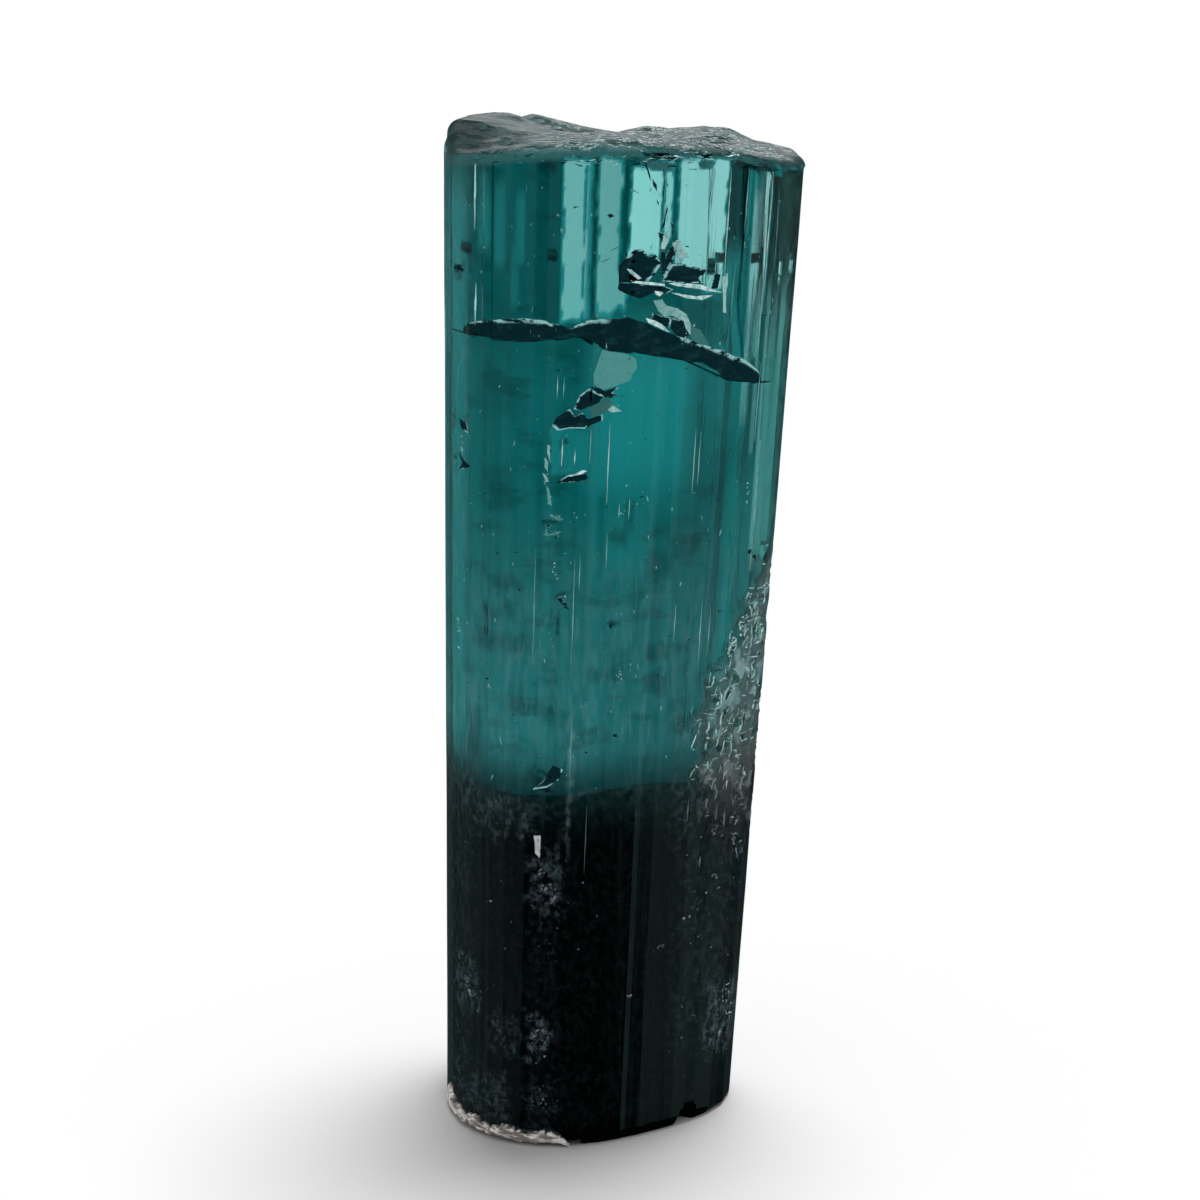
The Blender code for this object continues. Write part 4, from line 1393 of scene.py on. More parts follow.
@dataclass
class FlakeSheets:
    """Many flakes that follow the front of the skin, in one mesh."""

    surface: Surface
    name: str
    flakes: list[Flake | Shard]
    thickness: float = 0.024
    jaggedness: float = 0.10
    lift: float = 0.004
    unevenness: float = 0.016
    # Share of corners that get the painted rim highlight, and the weaker value that the rest get.
    highlight_rim_share: float = 0.45
    dull_rim_highlight: float = 0.3

    def build(self, finish: bpy.types.Material) -> bpy.types.Object:
        """Add a fan for every flake, tear its edges, and lay it on the stone.

        Args:
            finish: Material of the flakes.

        Returns:
            The piece, each flake a thin closed body.
        """
        outlines = [flake.outline(seed) for seed, flake in enumerate(self.flakes)]
        bpy.ops.object.select_all(action="DESELECT")
        bpy.ops.mesh.primitive_circle_add(vertices=len(outlines[0]), fill_type="TRIFAN")
        piece = bpy.context.object
        piece.name = self.name
        bpy.ops.object.mode_set(mode="EDIT")
        for outline in outlines[1:]:
            bpy.ops.mesh.primitive_circle_add(vertices=len(outline), fill_type="TRIFAN")
        bpy.ops.object.mode_set(mode="OBJECT")
        self.place(piece, outlines)
        bpy.ops.object.mode_set(mode="EDIT")
        bpy.ops.mesh.select_all(action="SELECT")
        bpy.ops.mesh.subdivide(number_cuts=2, fractal=self.jaggedness, seed=3)
        bpy.ops.object.mode_set(mode="OBJECT")
        for vertex in piece.data.vertices:
            rough = min(abs(vertex.co.z), self.unevenness)
            vertex.co = self.surface.point(vertex.co.x, vertex.co.y, self.lift + rough) * MM
        apply_modifier(piece, "SOLIDIFY", thickness=self.thickness * MM, offset=0.0)
        piece.data.materials.append(finish)
        return piece

    def place(self, piece: bpy.types.Object, outlines: list[list[Pair]]) -> None:
        """Move every fan's corners to its outline, and store its brightness and the painted highlight of its
        rim.
        """
        vertices = piece.data.vertices
        rim_highlights, lights = new_attribute(piece, "rim"), new_attribute(piece, "brightness")
        start = 0
        for flake, outline in zip(self.flakes, outlines):
            block = vertices[start:start + len(outline) + 1]
            middle = [vertex for vertex in block if vertex.co.length < 0.5][0]
            corners = [vertex for vertex in block if vertex.index != middle.index]
            for vertex, (across, height) in zip(corners, outline):
                vertex.co = Vector((across, height, 0.0))
                drawn = noise.cell(Vector((0.7 * vertex.index + 0.5, 3.5, 0.5)))
                rim_highlights.data[vertex.index].value = 1.0 if drawn < self.highlight_rim_share else self.dull_rim_highlight
            count = len(outline)
            middle.co = Vector((sum(x for x, _ in outline) / count, sum(z for _, z in outline) / count, 0.0))
            for vertex in block:
                lights.data[vertex.index].value = flake.brightness
            start += count + 1


DARK_SHARDS = (
    Shard(((0.05, 30.45), (0.03, 31.01), (0.31, 31.31), (0.48, 31.54), (0.77, 31.54), (0.99, 31.27),
           (1.22, 31.33), (1.43, 31.03), (1.24, 30.74), (1.02, 30.48))),
    Shard(((0.02, 30.22), (0.05, 30.45), (0.76, 30.38), (1.57, 30.23), (1.28, 30.11), (0.78, 29.91),
           (0.44, 30.02))),
    Shard(((1.41, 31.46), (1.63, 31.26), (1.97, 31.78), (2.10, 31.71), (1.84, 31.02), (1.59, 30.60),
           (1.45, 30.70))),
    Shard(((1.53, 30.43), (1.62, 30.66), (1.84, 30.96), (2.11, 30.98), (2.98, 30.71), (2.82, 30.42),
           (2.90, 30.28), (2.25, 30.31))),
    Shard(((3.26, 30.56), (3.47, 30.51), (3.40, 30.05), (3.19, 30.06))),
    Shard(((1.21, 29.41), (1.55, 29.27), (1.90, 29.19), (1.82, 28.89), (1.54, 28.93), (1.15, 29.21))),
    Shard(((1.90, 29.19), (2.36, 29.07), (2.52, 28.66), (2.43, 28.43), (2.10, 28.58), (1.85, 28.92))),
    Shard(((1.28, 30.17), (1.61, 30.26), (1.96, 30.12), (1.73, 30.00), (1.42, 30.00))),
    Shard(((-0.81, 27.03), (-0.54, 26.97), (-0.33, 26.84), (0.22, 27.01), (-0.04, 26.77), (0.17, 26.67),
           (-0.17, 26.60), (-0.53, 26.73))),
    Shard(((-1.35, 26.27), (-1.16, 26.72), (-0.85, 26.96), (-0.32, 26.70), (-0.48, 26.46), (-0.83, 26.36),
           (-1.14, 26.21))),
    Shard(((-2.06, 25.70), (-1.94, 25.98), (-1.49, 26.27), (-1.30, 26.00), (-1.03, 26.15), (-0.85, 25.91),
           (-0.94, 25.61), (-1.46, 25.62), (-1.88, 25.54))),
    Shard(((-0.90, 25.91), (-0.33, 26.06), (-0.32, 25.86), (-0.92, 25.68))),
    Shard(((-1.91, 23.76), (-1.53, 23.99), (-0.89, 24.11), (-0.78, 23.94), (-0.92, 23.84), (-1.41, 23.79))),
    Shard(((-2.52, 13.04), (-2.10, 13.35), (-1.75, 13.95), (-1.36, 13.80), (-1.50, 13.45), (-1.95, 13.15))),
)
# Dark flakes: lines and bits near the top and in the crack cluster, flakes in the chips' hollows as painted
# shade, and a few lower marks.
DARK_FLAKES = (
    Flake(0.82, 34.12, 0.05, 0.34, 22.0), Flake(1.08, 33.62, 0.07, 0.38, 16.0),
    Flake(1.20, 33.05, 0.045, 0.36, 4.0), Flake(1.38, 33.50, 0.035, 0.75, 1.0),
    Flake(1.50, 32.50, 0.10, 0.42, -12.0), Flake(1.38, 31.95, 0.10, 0.24, 30.0),
    Flake(1.85, 32.05, 0.09, 0.40, 6.0), Flake(2.25, 31.55, 0.15, 0.045, -35.0),
    Flake(0.90, 34.56, 0.52, 0.14, -8.0), Flake(1.62, 34.42, 0.55, 0.15, -14.0),
    Flake(2.75, 34.56, 0.42, 0.09, 3.0), Flake(-0.31, 32.66, 0.17, 0.07, 30.0),
    Flake(-0.10, 31.61, 0.26, 0.10, 35.0), Flake(-0.30, 31.25, 0.20, 0.05, 25.0),
    Flake(0.45, 33.45, 0.16, 0.05, -35.0), Flake(-1.55, 32.95, 0.14, 0.05, 10.0),
    Flake(-5.36, 30.50, 0.30, 0.18, 0.0), Flake(-5.22, 25.45, 0.34, 0.40, 0.0),
    Flake(-5.30, 23.97, 0.28, 0.26, 0.0), Flake(-2.15, 22.25, 0.18, 0.10, -30.0),
    Flake(-1.85, 21.90, 0.16, 0.07, 20.0), Flake(-1.60, 19.70, 0.34, 0.07, -45.0),
    Flake(-1.45, 19.62, 0.10, 0.16, 10.0), Flake(0.38, 18.80, 0.25, 0.10, 0.0),
    Flake(5.48, 20.42, 0.24, 0.18, 0.0), Flake(5.30, 20.75, 0.14, 0.10, 30.0),
    Flake(-2.10, 24.88, 0.05, 0.12, 10.0), Flake(-2.26, 24.20, 0.06, 0.14, 10.0),
    Flake(1.15, 23.20, 0.14, 0.04, 15.0), Flake(1.25, 22.95, 0.10, 0.04, 25.0),
    Flake(0.85, 22.40, 0.22, 0.05, 5.0), Flake(0.60, 14.95, 0.12, 0.10, 10.0),
)
# Pale shards: lit facets and bright edges round the cracks and chips, painted light; the few below 0 in
# brightness are painted shade.
PALE_SHARDS = (
    Shard(((0.42, 30.52), (1.09, 30.44), (1.61, 30.33), (1.64, 30.26), (1.10, 30.34), (0.48, 30.45)), 0.9),
    Shard(((1.80, 30.33), (2.15, 30.35), (2.87, 30.21), (3.23, 30.03), (3.58, 29.90), (3.20, 29.96),
           (2.74, 30.09), (2.11, 30.22)), 0.8),
    Shard(((1.89, 30.02), (2.48, 29.90), (2.89, 29.78), (3.24, 29.83), (2.90, 29.71), (2.35, 29.81)), 0.7),
    Shard(((0.30, 30.91), (0.43, 30.88), (0.78, 30.58), (0.65, 30.55), (0.41, 30.75)), 0.6),
    Shard(((1.45, 31.92), (1.62, 32.09), (1.76, 31.92), (1.70, 31.69), (1.51, 31.49), (1.37, 31.53)), 0.5),
    Shard(((1.22, 29.81), (1.53, 29.83), (1.75, 29.59), (2.13, 29.48), (2.00, 29.25), (1.69, 29.23),
           (1.41, 29.44)), 0.25),
    Shard(((2.09, 29.48), (2.38, 29.27), (2.57, 28.89), (2.56, 28.56), (2.40, 28.77), (2.28, 29.07),
           (1.97, 29.25)), 0.35),
    Shard(((2.54, 28.86), (2.90, 28.71), (3.24, 28.15), (2.90, 28.20), (2.60, 28.42)), -0.4),
    Shard(((1.24, 30.14), (1.55, 30.07), (1.42, 29.94), (1.29, 30.01)), 0.9),
    Shard(((0.98, 29.25), (1.32, 29.14), (1.67, 28.93), (1.89, 28.69), (1.51, 28.87), (1.09, 29.08)), 0.8),
    Shard(((3.51, 30.41), (3.71, 30.53), (3.77, 30.19), (3.69, 29.83), (3.77, 29.18), (3.63, 29.23),
           (3.59, 29.83)), 0.4),
    Shard(((1.84, 31.68), (2.07, 31.71), (2.19, 31.44), (2.40, 31.17), (2.10, 31.15), (1.92, 31.38)), 0.35),
    Shard(((-0.72, 27.40), (-0.41, 28.25), (-0.10, 28.16), (0.38, 28.10), (0.70, 27.91), (0.78, 27.61),
           (0.59, 27.37), (0.55, 27.17), (0.05, 27.01), (-0.36, 26.90), (-0.68, 27.10)), 0.03),
    Shard(((-0.83, 26.32), (-0.45, 26.43), (-0.18, 26.67), (-0.03, 26.47), (-0.20, 26.13),
           (-0.72, 26.02)), -0.5),
    Shard(((-0.20, 26.23), (0.00, 26.37), (0.32, 26.16), (-0.02, 26.13)), 0.4),
    Shard(((-1.56, 23.99), (-1.25, 24.07), (-0.97, 24.21), (-0.82, 24.18), (-1.04, 24.07),
           (-1.35, 23.99)), 0.8),
    Shard(((-2.22, 25.04), (-2.12, 25.02), (-2.10, 24.50), (-2.22, 24.77)), 0.3),
    Shard(((-2.29, 24.63), (-2.17, 24.43), (-2.20, 24.16), (-2.31, 24.29)), 0.2),
    Shard(((-2.38, 24.08), (-2.27, 24.02), (-2.13, 23.82), (-2.23, 23.78)), 0.3),
    Shard(((-2.23, 23.68), (-2.12, 23.55), (-2.00, 23.00), (-2.14, 23.06)), 0.05),
    Shard(((-2.10, 22.76), (-1.91, 22.66), (-1.59, 22.54), (-1.73, 22.47), (-2.02, 22.59)), -0.2),
    Shard(((-2.37, 22.01), (-2.07, 22.03), (-1.73, 22.12), (-1.65, 22.09), (-2.15, 21.93)), -0.1),
    Shard(((-2.42, 11.40), (-2.14, 11.43), (-2.16, 10.63), (-2.36, 10.76)), 1.0),
)
# Painted highlights along the ridges, one row each: across, low end, high end and brightness.
RIDGE_HIGHLIGHT_LINES = (
    (-1.72, 24.32, 25.27, 0.8), (-1.26, 24.34, 24.90, 0.7), (-0.74, 24.42, 25.60, 0.2),
    (-0.08, 23.06, 25.79, 0.5), (-1.92, 26.59, 27.43, 0.5), (-1.71, 26.60, 27.37, 0.3),
    (0.37, 22.48, 23.06, 0.3), (0.71, 22.48, 23.16, 0.5), (3.56, 17.01, 19.43, 0.3),
    (3.60, 30.02, 34.40, 0.6), (4.05, 28.98, 30.34, 0.2), (3.96, 17.24, 19.02, 0.2),
    (-4.82, 32.00, 34.60, 0.7), (-4.80, 28.80, 30.25, 0.8), (5.10, 29.00, 33.80, 0.45),
    (5.04, 27.20, 30.40, 0.3), (5.16, 24.60, 27.30, 0.25), (5.34, 20.00, 24.60, 0.3),
    (-2.58, 17.50, 21.50, 0.15), (-1.16, 17.00, 21.20, 0.2), (-0.96, 20.00, 21.30, 0.4),
    (-1.08, 13.00, 16.40, 0.1), (2.96, 23.10, 25.40, 0.35), (3.14, 23.40, 25.20, 0.3),
    (2.60, 18.00, 19.30, 0.3), (-0.02, 20.80, 22.00, 0.25), (4.34, 31.80, 34.00, 0.2),
    (-1.10, 29.40, 34.20, 0.3), (-0.40, 10.00, 12.60, 0.1), (3.55, 11.43, 12.20, 0.3),
    (4.23, 9.60, 9.97, 0.4), (4.74, 11.19, 11.79, 0.4),
)
BRIGHT_BITS = (
    (5.45, 18.90, 0.06, 0.30), (5.30, 18.33, 0.10, 0.13), (5.23, 17.84, 0.05, 0.22),
    (5.50, 17.40, 0.05, 0.22), (4.88, 17.00, 0.06, 0.24), (5.03, 15.96, 0.16, 0.06),
    (4.72, 10.80, 0.12, 0.20), (5.55, 10.20, 0.12, 0.30), (4.88, 9.10, 0.10, 0.09),
    (3.78, 7.85, 0.16, 0.04), (2.80, 7.00, 0.16, 0.04), (1.65, 5.37, 0.13, 0.03),
    (-2.05, 4.30, 0.22, 0.22), (-2.30, 4.05, 0.12, 0.10), (-1.75, 4.00, 0.14, 0.10),
    (-5.10, 5.55, 0.10, 0.12), (-4.95, 5.15, 0.14, 0.08), (-1.85, 9.60, 0.22, 0.10),
    (-1.60, 9.10, 0.12, 0.12), (-2.10, 10.10, 0.14, 0.12), (5.75, 4.30, 0.16, 0.24),
    (5.95, 3.60, 0.14, 0.30), (5.60, 3.00, 0.12, 0.14), (-1.70, 1.70, 0.22, 0.12),
    (-2.16, 24.75, 0.07, 0.34), (-2.24, 24.30, 0.06, 0.28), (-2.28, 23.90, 0.08, 0.22),
    (-2.08, 23.30, 0.07, 0.36), (-1.90, 22.60, 0.22, 0.10), (-1.95, 22.06, 0.28, 0.08),
    (-1.62, 19.75, 0.22, 0.16), (-0.02, 26.30, 0.26, 0.20), (-5.30, 24.70, 0.08, 0.50),
    (-5.45, 18.00, 0.06, 0.80), (-1.86, 20.80, 0.08, 0.40), (0.70, 22.80, 0.30, 0.30),
    (2.42, 28.60, 0.20, 0.30), (-4.20, 16.60, 0.10, 0.20), (0.55, 17.00, 0.14, 0.22),
    (5.05, 22.50, 0.06, 0.80),
)


@dataclass(frozen=True)
class Scatter:
    """Small flakes that are strewn over the front by seeded chance, beside the listed ones."""

    dark_seed: int = 11
    dark_specks: int = 90
    dark_rim_flakes: int = 46
    pale_seed: int = 5
    bits_in_cluster: int = 7
    pale_specks: int = 190
    low_specks: int = 80
    pale_rim_nicks_and_highlights: int = 30
    pits: int = 135
    glint_edge_counts: tuple[int, ...] = (1, 2, 2, 3)
    coarse_pits_above: float = 13.0
    shaded_face_share: float = 0.55

    def dark(self) -> list[Flake | Shard]:
        """Every dark flake: the listed ones, specks over the upper part, and nicks along the top."""
        draw = random.Random(self.dark_seed)
        found = list(DARK_SHARDS) + list(DARK_FLAKES)
        for _ in range(self.dark_specks):
            size = draw.uniform(0.018, 0.045)
            found.append(Flake(draw.uniform(-5.2, 5.2), draw.uniform(13.2, 29.0),
                               size * draw.uniform(1.0, 3.2), size, draw.uniform(-20.0, 20.0)))
        for _ in range(self.dark_rim_flakes):
            found.append(Flake(draw.uniform(-5.6, 4.6), draw.gauss(34.42, 0.10), draw.uniform(0.06, 0.24),
                               draw.uniform(0.014, 0.042), draw.gauss(0.0, 10.0)))
        return found

    def pale(self, stone: Stone) -> list[Flake | Shard]:
        """Every pale flake: listed ones, specks, top nicks and painted highlights, and etched pits.

        Args:
            stone: The placed prism, which knows where it is etched.

        Returns:
            The flakes.
        """
        draw = random.Random(self.pale_seed)
        found = list(PALE_SHARDS) + [upright_line(*line) for line in RIDGE_HIGHLIGHT_LINES]
        for spot in BRIGHT_BITS:
            found += self.cluster(draw, *spot)
        for _ in range(self.pale_specks):
            size = draw.uniform(0.012, 0.034)
            found.append(Flake(draw.uniform(-5.4, 5.4), draw.uniform(12.8, 33.8), size,
                               size * draw.uniform(1.0, 5.0), draw.uniform(-14.0, 14.0),
                               0.45 * draw.random() ** 2))
        for _ in range(self.low_specks):
            size = draw.uniform(0.012, 0.040)
            across = draw.choice((draw.uniform(-5.4, 5.6), draw.uniform(-2.6, -1.0), draw.uniform(3.6, 6.0)))
            found.append(Flake(across, draw.uniform(0.9, 12.6), size * draw.uniform(1.0, 2.0), size,
                               draw.uniform(-60.0, 60.0), 0.7 * draw.random() ** 2))
        for _ in range(self.pale_rim_nicks_and_highlights):
            found.append(Flake(draw.uniform(-1.6, 4.4), draw.gauss(34.46, 0.07), draw.uniform(0.05, 0.18),
                               draw.uniform(0.012, 0.026), draw.gauss(0.0, 10.0), draw.uniform(0.2, 0.9)))
        pits = 0
        while pits < self.pits:
            across, height = draw.uniform(3.3, 6.2), draw.uniform(9.2, 20.8)
            if draw.random() < stone.etch_amount(across, height):
                found += self.pit(draw, across, height)
                pits += 1
        return found

    def cluster(self, draw: random.Random, across: float, height: float, wide: float,
                high: float) -> list[Flake]:
        """Crumbled spot: a few tiny flakes within wide and high of its middle."""
        return [Flake(across + draw.uniform(-wide, wide), height + draw.uniform(-high, high),
                      draw.uniform(0.02, 0.07), draw.uniform(0.012, 0.035), draw.uniform(-90.0, 90.0),
                      draw.uniform(0.1, 1.0)) for _ in range(self.bits_in_cluster)]

    def pit(self, draw: random.Random, across: float, height: float) -> list[Flake]:
        """Pit of the etched patch: thin painted glints round part of it, and sometimes painted shade inside.

        Args:
            draw: Source of the sizes.
            across: Its middle across.
            height: The height of its middle.

        Returns:
            The flakes that make it.
        """
        wide, high = draw.uniform(0.07, 0.19), draw.uniform(0.10, 0.36)
        lean = math.radians(draw.gauss(-8.0, 12.0))
        corners = []
        for right, up in ((1, 1), (-1, 1), (-1, -1), (1, -1)):
            right, up = right * wide * draw.uniform(0.6, 1.1), up * high * draw.uniform(0.7, 1.1)
            corners.append((across + right * math.cos(lean) - up * math.sin(lean),
                            height + right * math.sin(lean) + up * math.cos(lean)))
        found = []
        if draw.random() < self.shaded_face_share:
            found.append(Flake(across, height, 0.8 * wide, 0.8 * high, math.degrees(lean),
                               draw.uniform(-0.9, -0.45)))
        start, brightness = draw.randrange(4), draw.uniform(0.40, 1.0)
        for step in range(draw.choice(self.glint_edge_counts) if height > self.coarse_pits_above else 1):
            first, second = corners[(start + step) % 4], corners[(start + step + 1) % 4]
            turn = math.degrees(math.atan2(second[1] - first[1], second[0] - first[0]))
            found.append(Flake((first[0] + second[0]) / 2, (first[1] + second[1]) / 2,
                               0.52 * math.dist(first, second), draw.uniform(0.012, 0.040), turn,
                               brightness * draw.uniform(0.7, 1.0)))
        return found


@dataclass
class MainFracture:
    """Nearly level crack: its torn mouth on the front, and its plane that runs back into the stone."""

    surface: Surface
    lower_edge: tuple[Pair, ...] = (
        (-5.10, 28.72), (-4.70, 28.50), (-4.00, 28.44), (-2.90, 28.46), (-2.25, 28.58), (-1.60, 28.62),
        (-1.20, 28.68), (-0.95, 28.60), (-0.52, 28.30), (0.17, 28.14), (1.03, 28.00), (2.61, 27.68),
        (3.00, 27.56), (3.55, 27.26), (3.78, 26.95), (4.26, 26.82), (4.63, 26.77), (5.00, 26.58),
        (5.22, 26.66),
    )
    upper_edge: tuple[Pair, ...] = (
        (-5.10, 28.82), (-4.70, 28.98), (-4.00, 29.14), (-3.30, 29.22), (-2.60, 29.22), (-2.10, 29.14),
        (-1.85, 29.06), (-1.55, 28.92), (-1.30, 29.08), (-0.90, 29.24), (0.12, 29.26), (0.40, 29.30),
        (0.81, 29.15), (1.51, 28.83), (2.57, 28.39), (3.64, 27.95), (4.38, 27.63), (4.77, 27.35),
        (5.07, 27.09), (5.22, 26.79),
    )
    far_depth: float = 3.20
    sight_slope: float = 0.07
    columns: int = 220
    rows: int = 14
    mouth_rows: float = 0.6
    thickness: float = 0.03
    lift: float = 0.004
    tear: float = 0.06
    rim_highlight_gap: Pair = (0.9, 0.4)
    rim_highlight_tear: float = 8.0
    fade_span: Pair = (-0.5, 1.5)

    def build(self, finish: bpy.types.Material) -> bpy.types.Object:
        """Lay a grid down the crack's mouth, then back into the stone.

        Args:
            finish: Material of the crack's faces.

        Returns:
            The thin closed sheet.
        """
        bpy.ops.object.select_all(action="DESELECT")
        bpy.ops.mesh.primitive_grid_add(x_subdivisions=self.columns, y_subdivisions=self.rows, size=2.0)
        sheet = bpy.context.object
        sheet.name = "main_fracture"
        rim_highlights, fades = new_attribute(sheet, "rim"), new_attribute(sheet, "fade")
        start, end = self.lower_edge[0][0], self.lower_edge[-1][0]
        gap_middle, gap_half = self.rim_highlight_gap
        for vertex in sheet.data.vertices:
            along, inward = (vertex.co.x + 1.0) / 2.0, (vertex.co.y + 1.0) / 2.0
            across = start + (end - start) * along
            low, high = between(self.lower_edge, across), between(self.upper_edge, across)
            down = min(inward / self.mouth_rows, 1.0)
            torn = self.tear * noise.noise(Vector((2.5 * across, 2.0 * down, 7.0)))
            point = self.surface.point(across, high + (low - high) * down + torn, self.lift)
            back = max(0.0, inward - self.mouth_rows) / (1.0 - self.mouth_rows)
            deeper = self.far_depth * back * math.sqrt(max(0.0, 1.0 - (2.0 * along - 1.0) ** 4))
            vertex.co = (point + Vector((0.0, deeper, -self.sight_slope * deeper))) * MM
            # The rim attribute paints a pale highlight along the mouth's top edge, left out over a gap.
            beside = smooth_step(abs(across - gap_middle) - gap_half + torn * self.rim_highlight_tear)
            rim_highlights.data[vertex.index].value = (1.0 - down) * beside
            fades.data[vertex.index].value = down * rise_over(across, self.fade_span)
        apply_modifier(sheet, "SOLIDIFY", thickness=self.thickness * MM, offset=0.0)
        sheet.data.materials.append(finish)
        return sheet


@dataclass(frozen=True)
class RockFinish:
    """Pale torn rock with grey shadows and rusty stains."""

    pale: Colour = (0.70, 0.67, 0.64, 1.0)
    grey: Colour = (0.15, 0.14, 0.13, 1.0)
    stain: Colour = (0.36, 0.27, 0.19, 1.0)
    patches: Pair = (0.42, 0.60)
    stains: Ramp = (0.56, 0.72, 0.0, 0.55)
    roughness: Ramp = (0.0, 1.0, 0.95, 0.75)

    def make(self, effects: Effects) -> bpy.types.Material:
        """Make the material."""
        made, sheet, shader = start_material("pale_rock")
        place = effects.spot(sheet)["Place"]
        layers = sheet.noise(sheet.stretch(place, 0.5, 0.5, 2.6), 2.6, detail=4.0, rough=0.65)
        patches = sheet.ease(layers, *self.patches)
        rusty = sheet.ease(sheet.noise(place, 1.1, detail=3.0, rough=0.6), *self.stains)
        tone = sheet.mix(patches, self.grey, self.pale)
        grain = sheet.noise(place, 16.0, detail=4.0, rough=0.7)
        sheet.put(sheet.mix(rusty, tone, self.stain), shader.inputs["Base Color"])
        sheet.put(sheet.ease(patches, *self.roughness), shader.inputs["Roughness"])
        sheet.put(sheet.bump(grain, strength=0.6, height=0.05), shader.inputs["Normal"])
        return made


@dataclass
class PaleRind:
    """Torn scrap of pale rock under the front left rim, highest near its left end."""

    stone: Stone
    columns: int = 210
    around: int = 36
    stand_out: float = 0.07
    lumps: float = 0.085
    tear: float = 0.32
    tear_limit: float = 0.15
    undercut: float = 0.42
    inner_gap: float = 0.16
    least_top: float = 0.10
    least_lift: float = 0.16
    lift_tear: float = 0.20
    brow: float = 0.92
    top_inset: float = 0.10
    end_fade_degrees: float = 4.0
    smooth_degrees: float = 35.0
    corners: tuple[float, ...] = (0.0, 0.20, 0.34, 0.66, 0.80, 1.0)
    top_layers: tuple[Layer, ...] = ((0.35, 1.0, 1.0), (1.1, 2.0, 0.6))
    lift_layers: tuple[Layer, ...] = ((0.45, 6.0, 1.0), (1.6, 7.0, 0.6))

    def wedge(self, degrees: float, turn: float) -> Pair:
        """Smooth section of the rind.

        Args:
            degrees: Place along the foot's rim.
            turn: Way round the section, from the inner edge out under it, up its face and back over it.

        Returns:
            How far out of the crystal's side the section lies there, and its height.
        """
        start, end = self.stone.prism.rind_degrees
        fade = smooth_step(min(degrees - start, end - degrees) / self.end_fade_degrees)
        jagged = min(tear_along(degrees, self.top_layers), self.tear_limit)
        top = max(self.least_top, self.stone.rind_top(degrees) + self.tear * jagged - 0.02)
        inner = -(self.stone.prism.rind_depth - self.inner_gap) * (0.4 + 0.6 * fade)
        face = self.stand_out * (0.3 + 0.7 * fade)
        ragged = max(0.0, tear_along(degrees, self.lift_layers))
        lift = (self.least_lift + self.lift_tear * ragged) * fade
        outs = (inner, face - self.undercut * fade, face, face, -self.top_inset, inner)
        heights = (0.0, 0.0, lift, max(lift + 0.05, self.brow * top), top, 0.0)
        return between(zip(self.corners, outs), turn), between(zip(self.corners, heights), turn)

    def section(self, degrees: float, turn: float) -> Vector:
        """Point of the lumpy rind, in millimetres, from its place along the rim and round the section."""
        out, height = self.wedge(degrees, turn)
        point = self.stone.side(degrees, height, out)
        layered = Vector((1.6 * point.x, 1.6 * point.y, 7.0 * point.z))
        rough = noise.noise(layered) + 0.6 * noise.noise(point * 6.0) + 0.3 * abs(noise.noise(point * 11.0))
        push = min(self.lumps * rough * min(1.0, height / 0.12), self.lumps * 0.8)
        moved = self.stone.side(degrees, height, out + (push if out > -0.2 else 0.0))
        rise = 0.6 * self.lumps * noise.noise(point * 5.0) * min(1.0, height / 0.2)
        moved.z = max(0.0, height + rise)
        return moved

    def build(self, finish: bpy.types.Material) -> bpy.types.Object:
        """Bend a grid round into the rind and close its ends.

        Args:
            finish: Material of the rock.

        Returns:
            The closed rind.
        """
        bpy.ops.object.select_all(action="DESELECT")
        bpy.ops.mesh.primitive_grid_add(x_subdivisions=self.columns, y_subdivisions=self.around, size=2.0)
        rind = bpy.context.object
        rind.name = "pale_rind"
        start, end = self.stone.prism.rind_degrees
        for vertex in rind.data.vertices:
            along, turn = (vertex.co.x + 1.0) / 2.0, (vertex.co.y + 1.0) / 2.0
            vertex.co = self.section(start + (end - start) * along, turn) * MM
        close_mesh(merge=0.002)
        only(rind)
        bpy.ops.object.shade_smooth_by_angle(angle=math.radians(self.smooth_degrees))
        rind.data.materials.append(finish)
        return rind


@dataclass
class SurfaceWearAndSheen:
    """Film of scuffs, painted reflections and sheen just outside the skin, kept only where the skin is
    marked.
    """

    stand_out: float = 0.008
    least: float = 0.01

    def build(self, skin: bpy.types.Object, finish: bpy.types.Material) -> bpy.types.Object:
        """Copy the skin's faces that carry wear, etch or top marks, and lift them off it.

        Args:
            skin: The painted skin.
            finish: Material of the film.

        Returns:
            The film.
        """
        only(skin)
        bpy.ops.object.duplicate()
        film = bpy.context.object
        film.name = "surface_wear_and_sheen"
        worn = np.zeros(len(film.data.vertices), dtype=np.float32)
        for name in ("wear", "etch", "top"):
            values = np.empty(len(worn), dtype=np.float32)
            film.data.attributes[name].data.foreach_get("value", values)
            worn = np.maximum(worn, values)
        bpy.ops.object.mode_set(mode="EDIT")
        bpy.ops.mesh.select_mode(type="FACE")
        bpy.ops.mesh.select_all(action="DESELECT")
        bpy.ops.object.mode_set(mode="OBJECT")
        for face in film.data.polygons:
            face.select = bool(max(worn[index] for index in face.vertices) < self.least)
        bpy.ops.object.mode_set(mode="EDIT")
        bpy.ops.mesh.delete(type="FACE")
        bpy.ops.mesh.select_all(action="SELECT")
        bpy.ops.transform.shrink_fatten(value=self.stand_out * MM)
        bpy.ops.object.mode_set(mode="OBJECT")
        film.data.materials.clear()
        film.data.materials.append(finish)
        return film


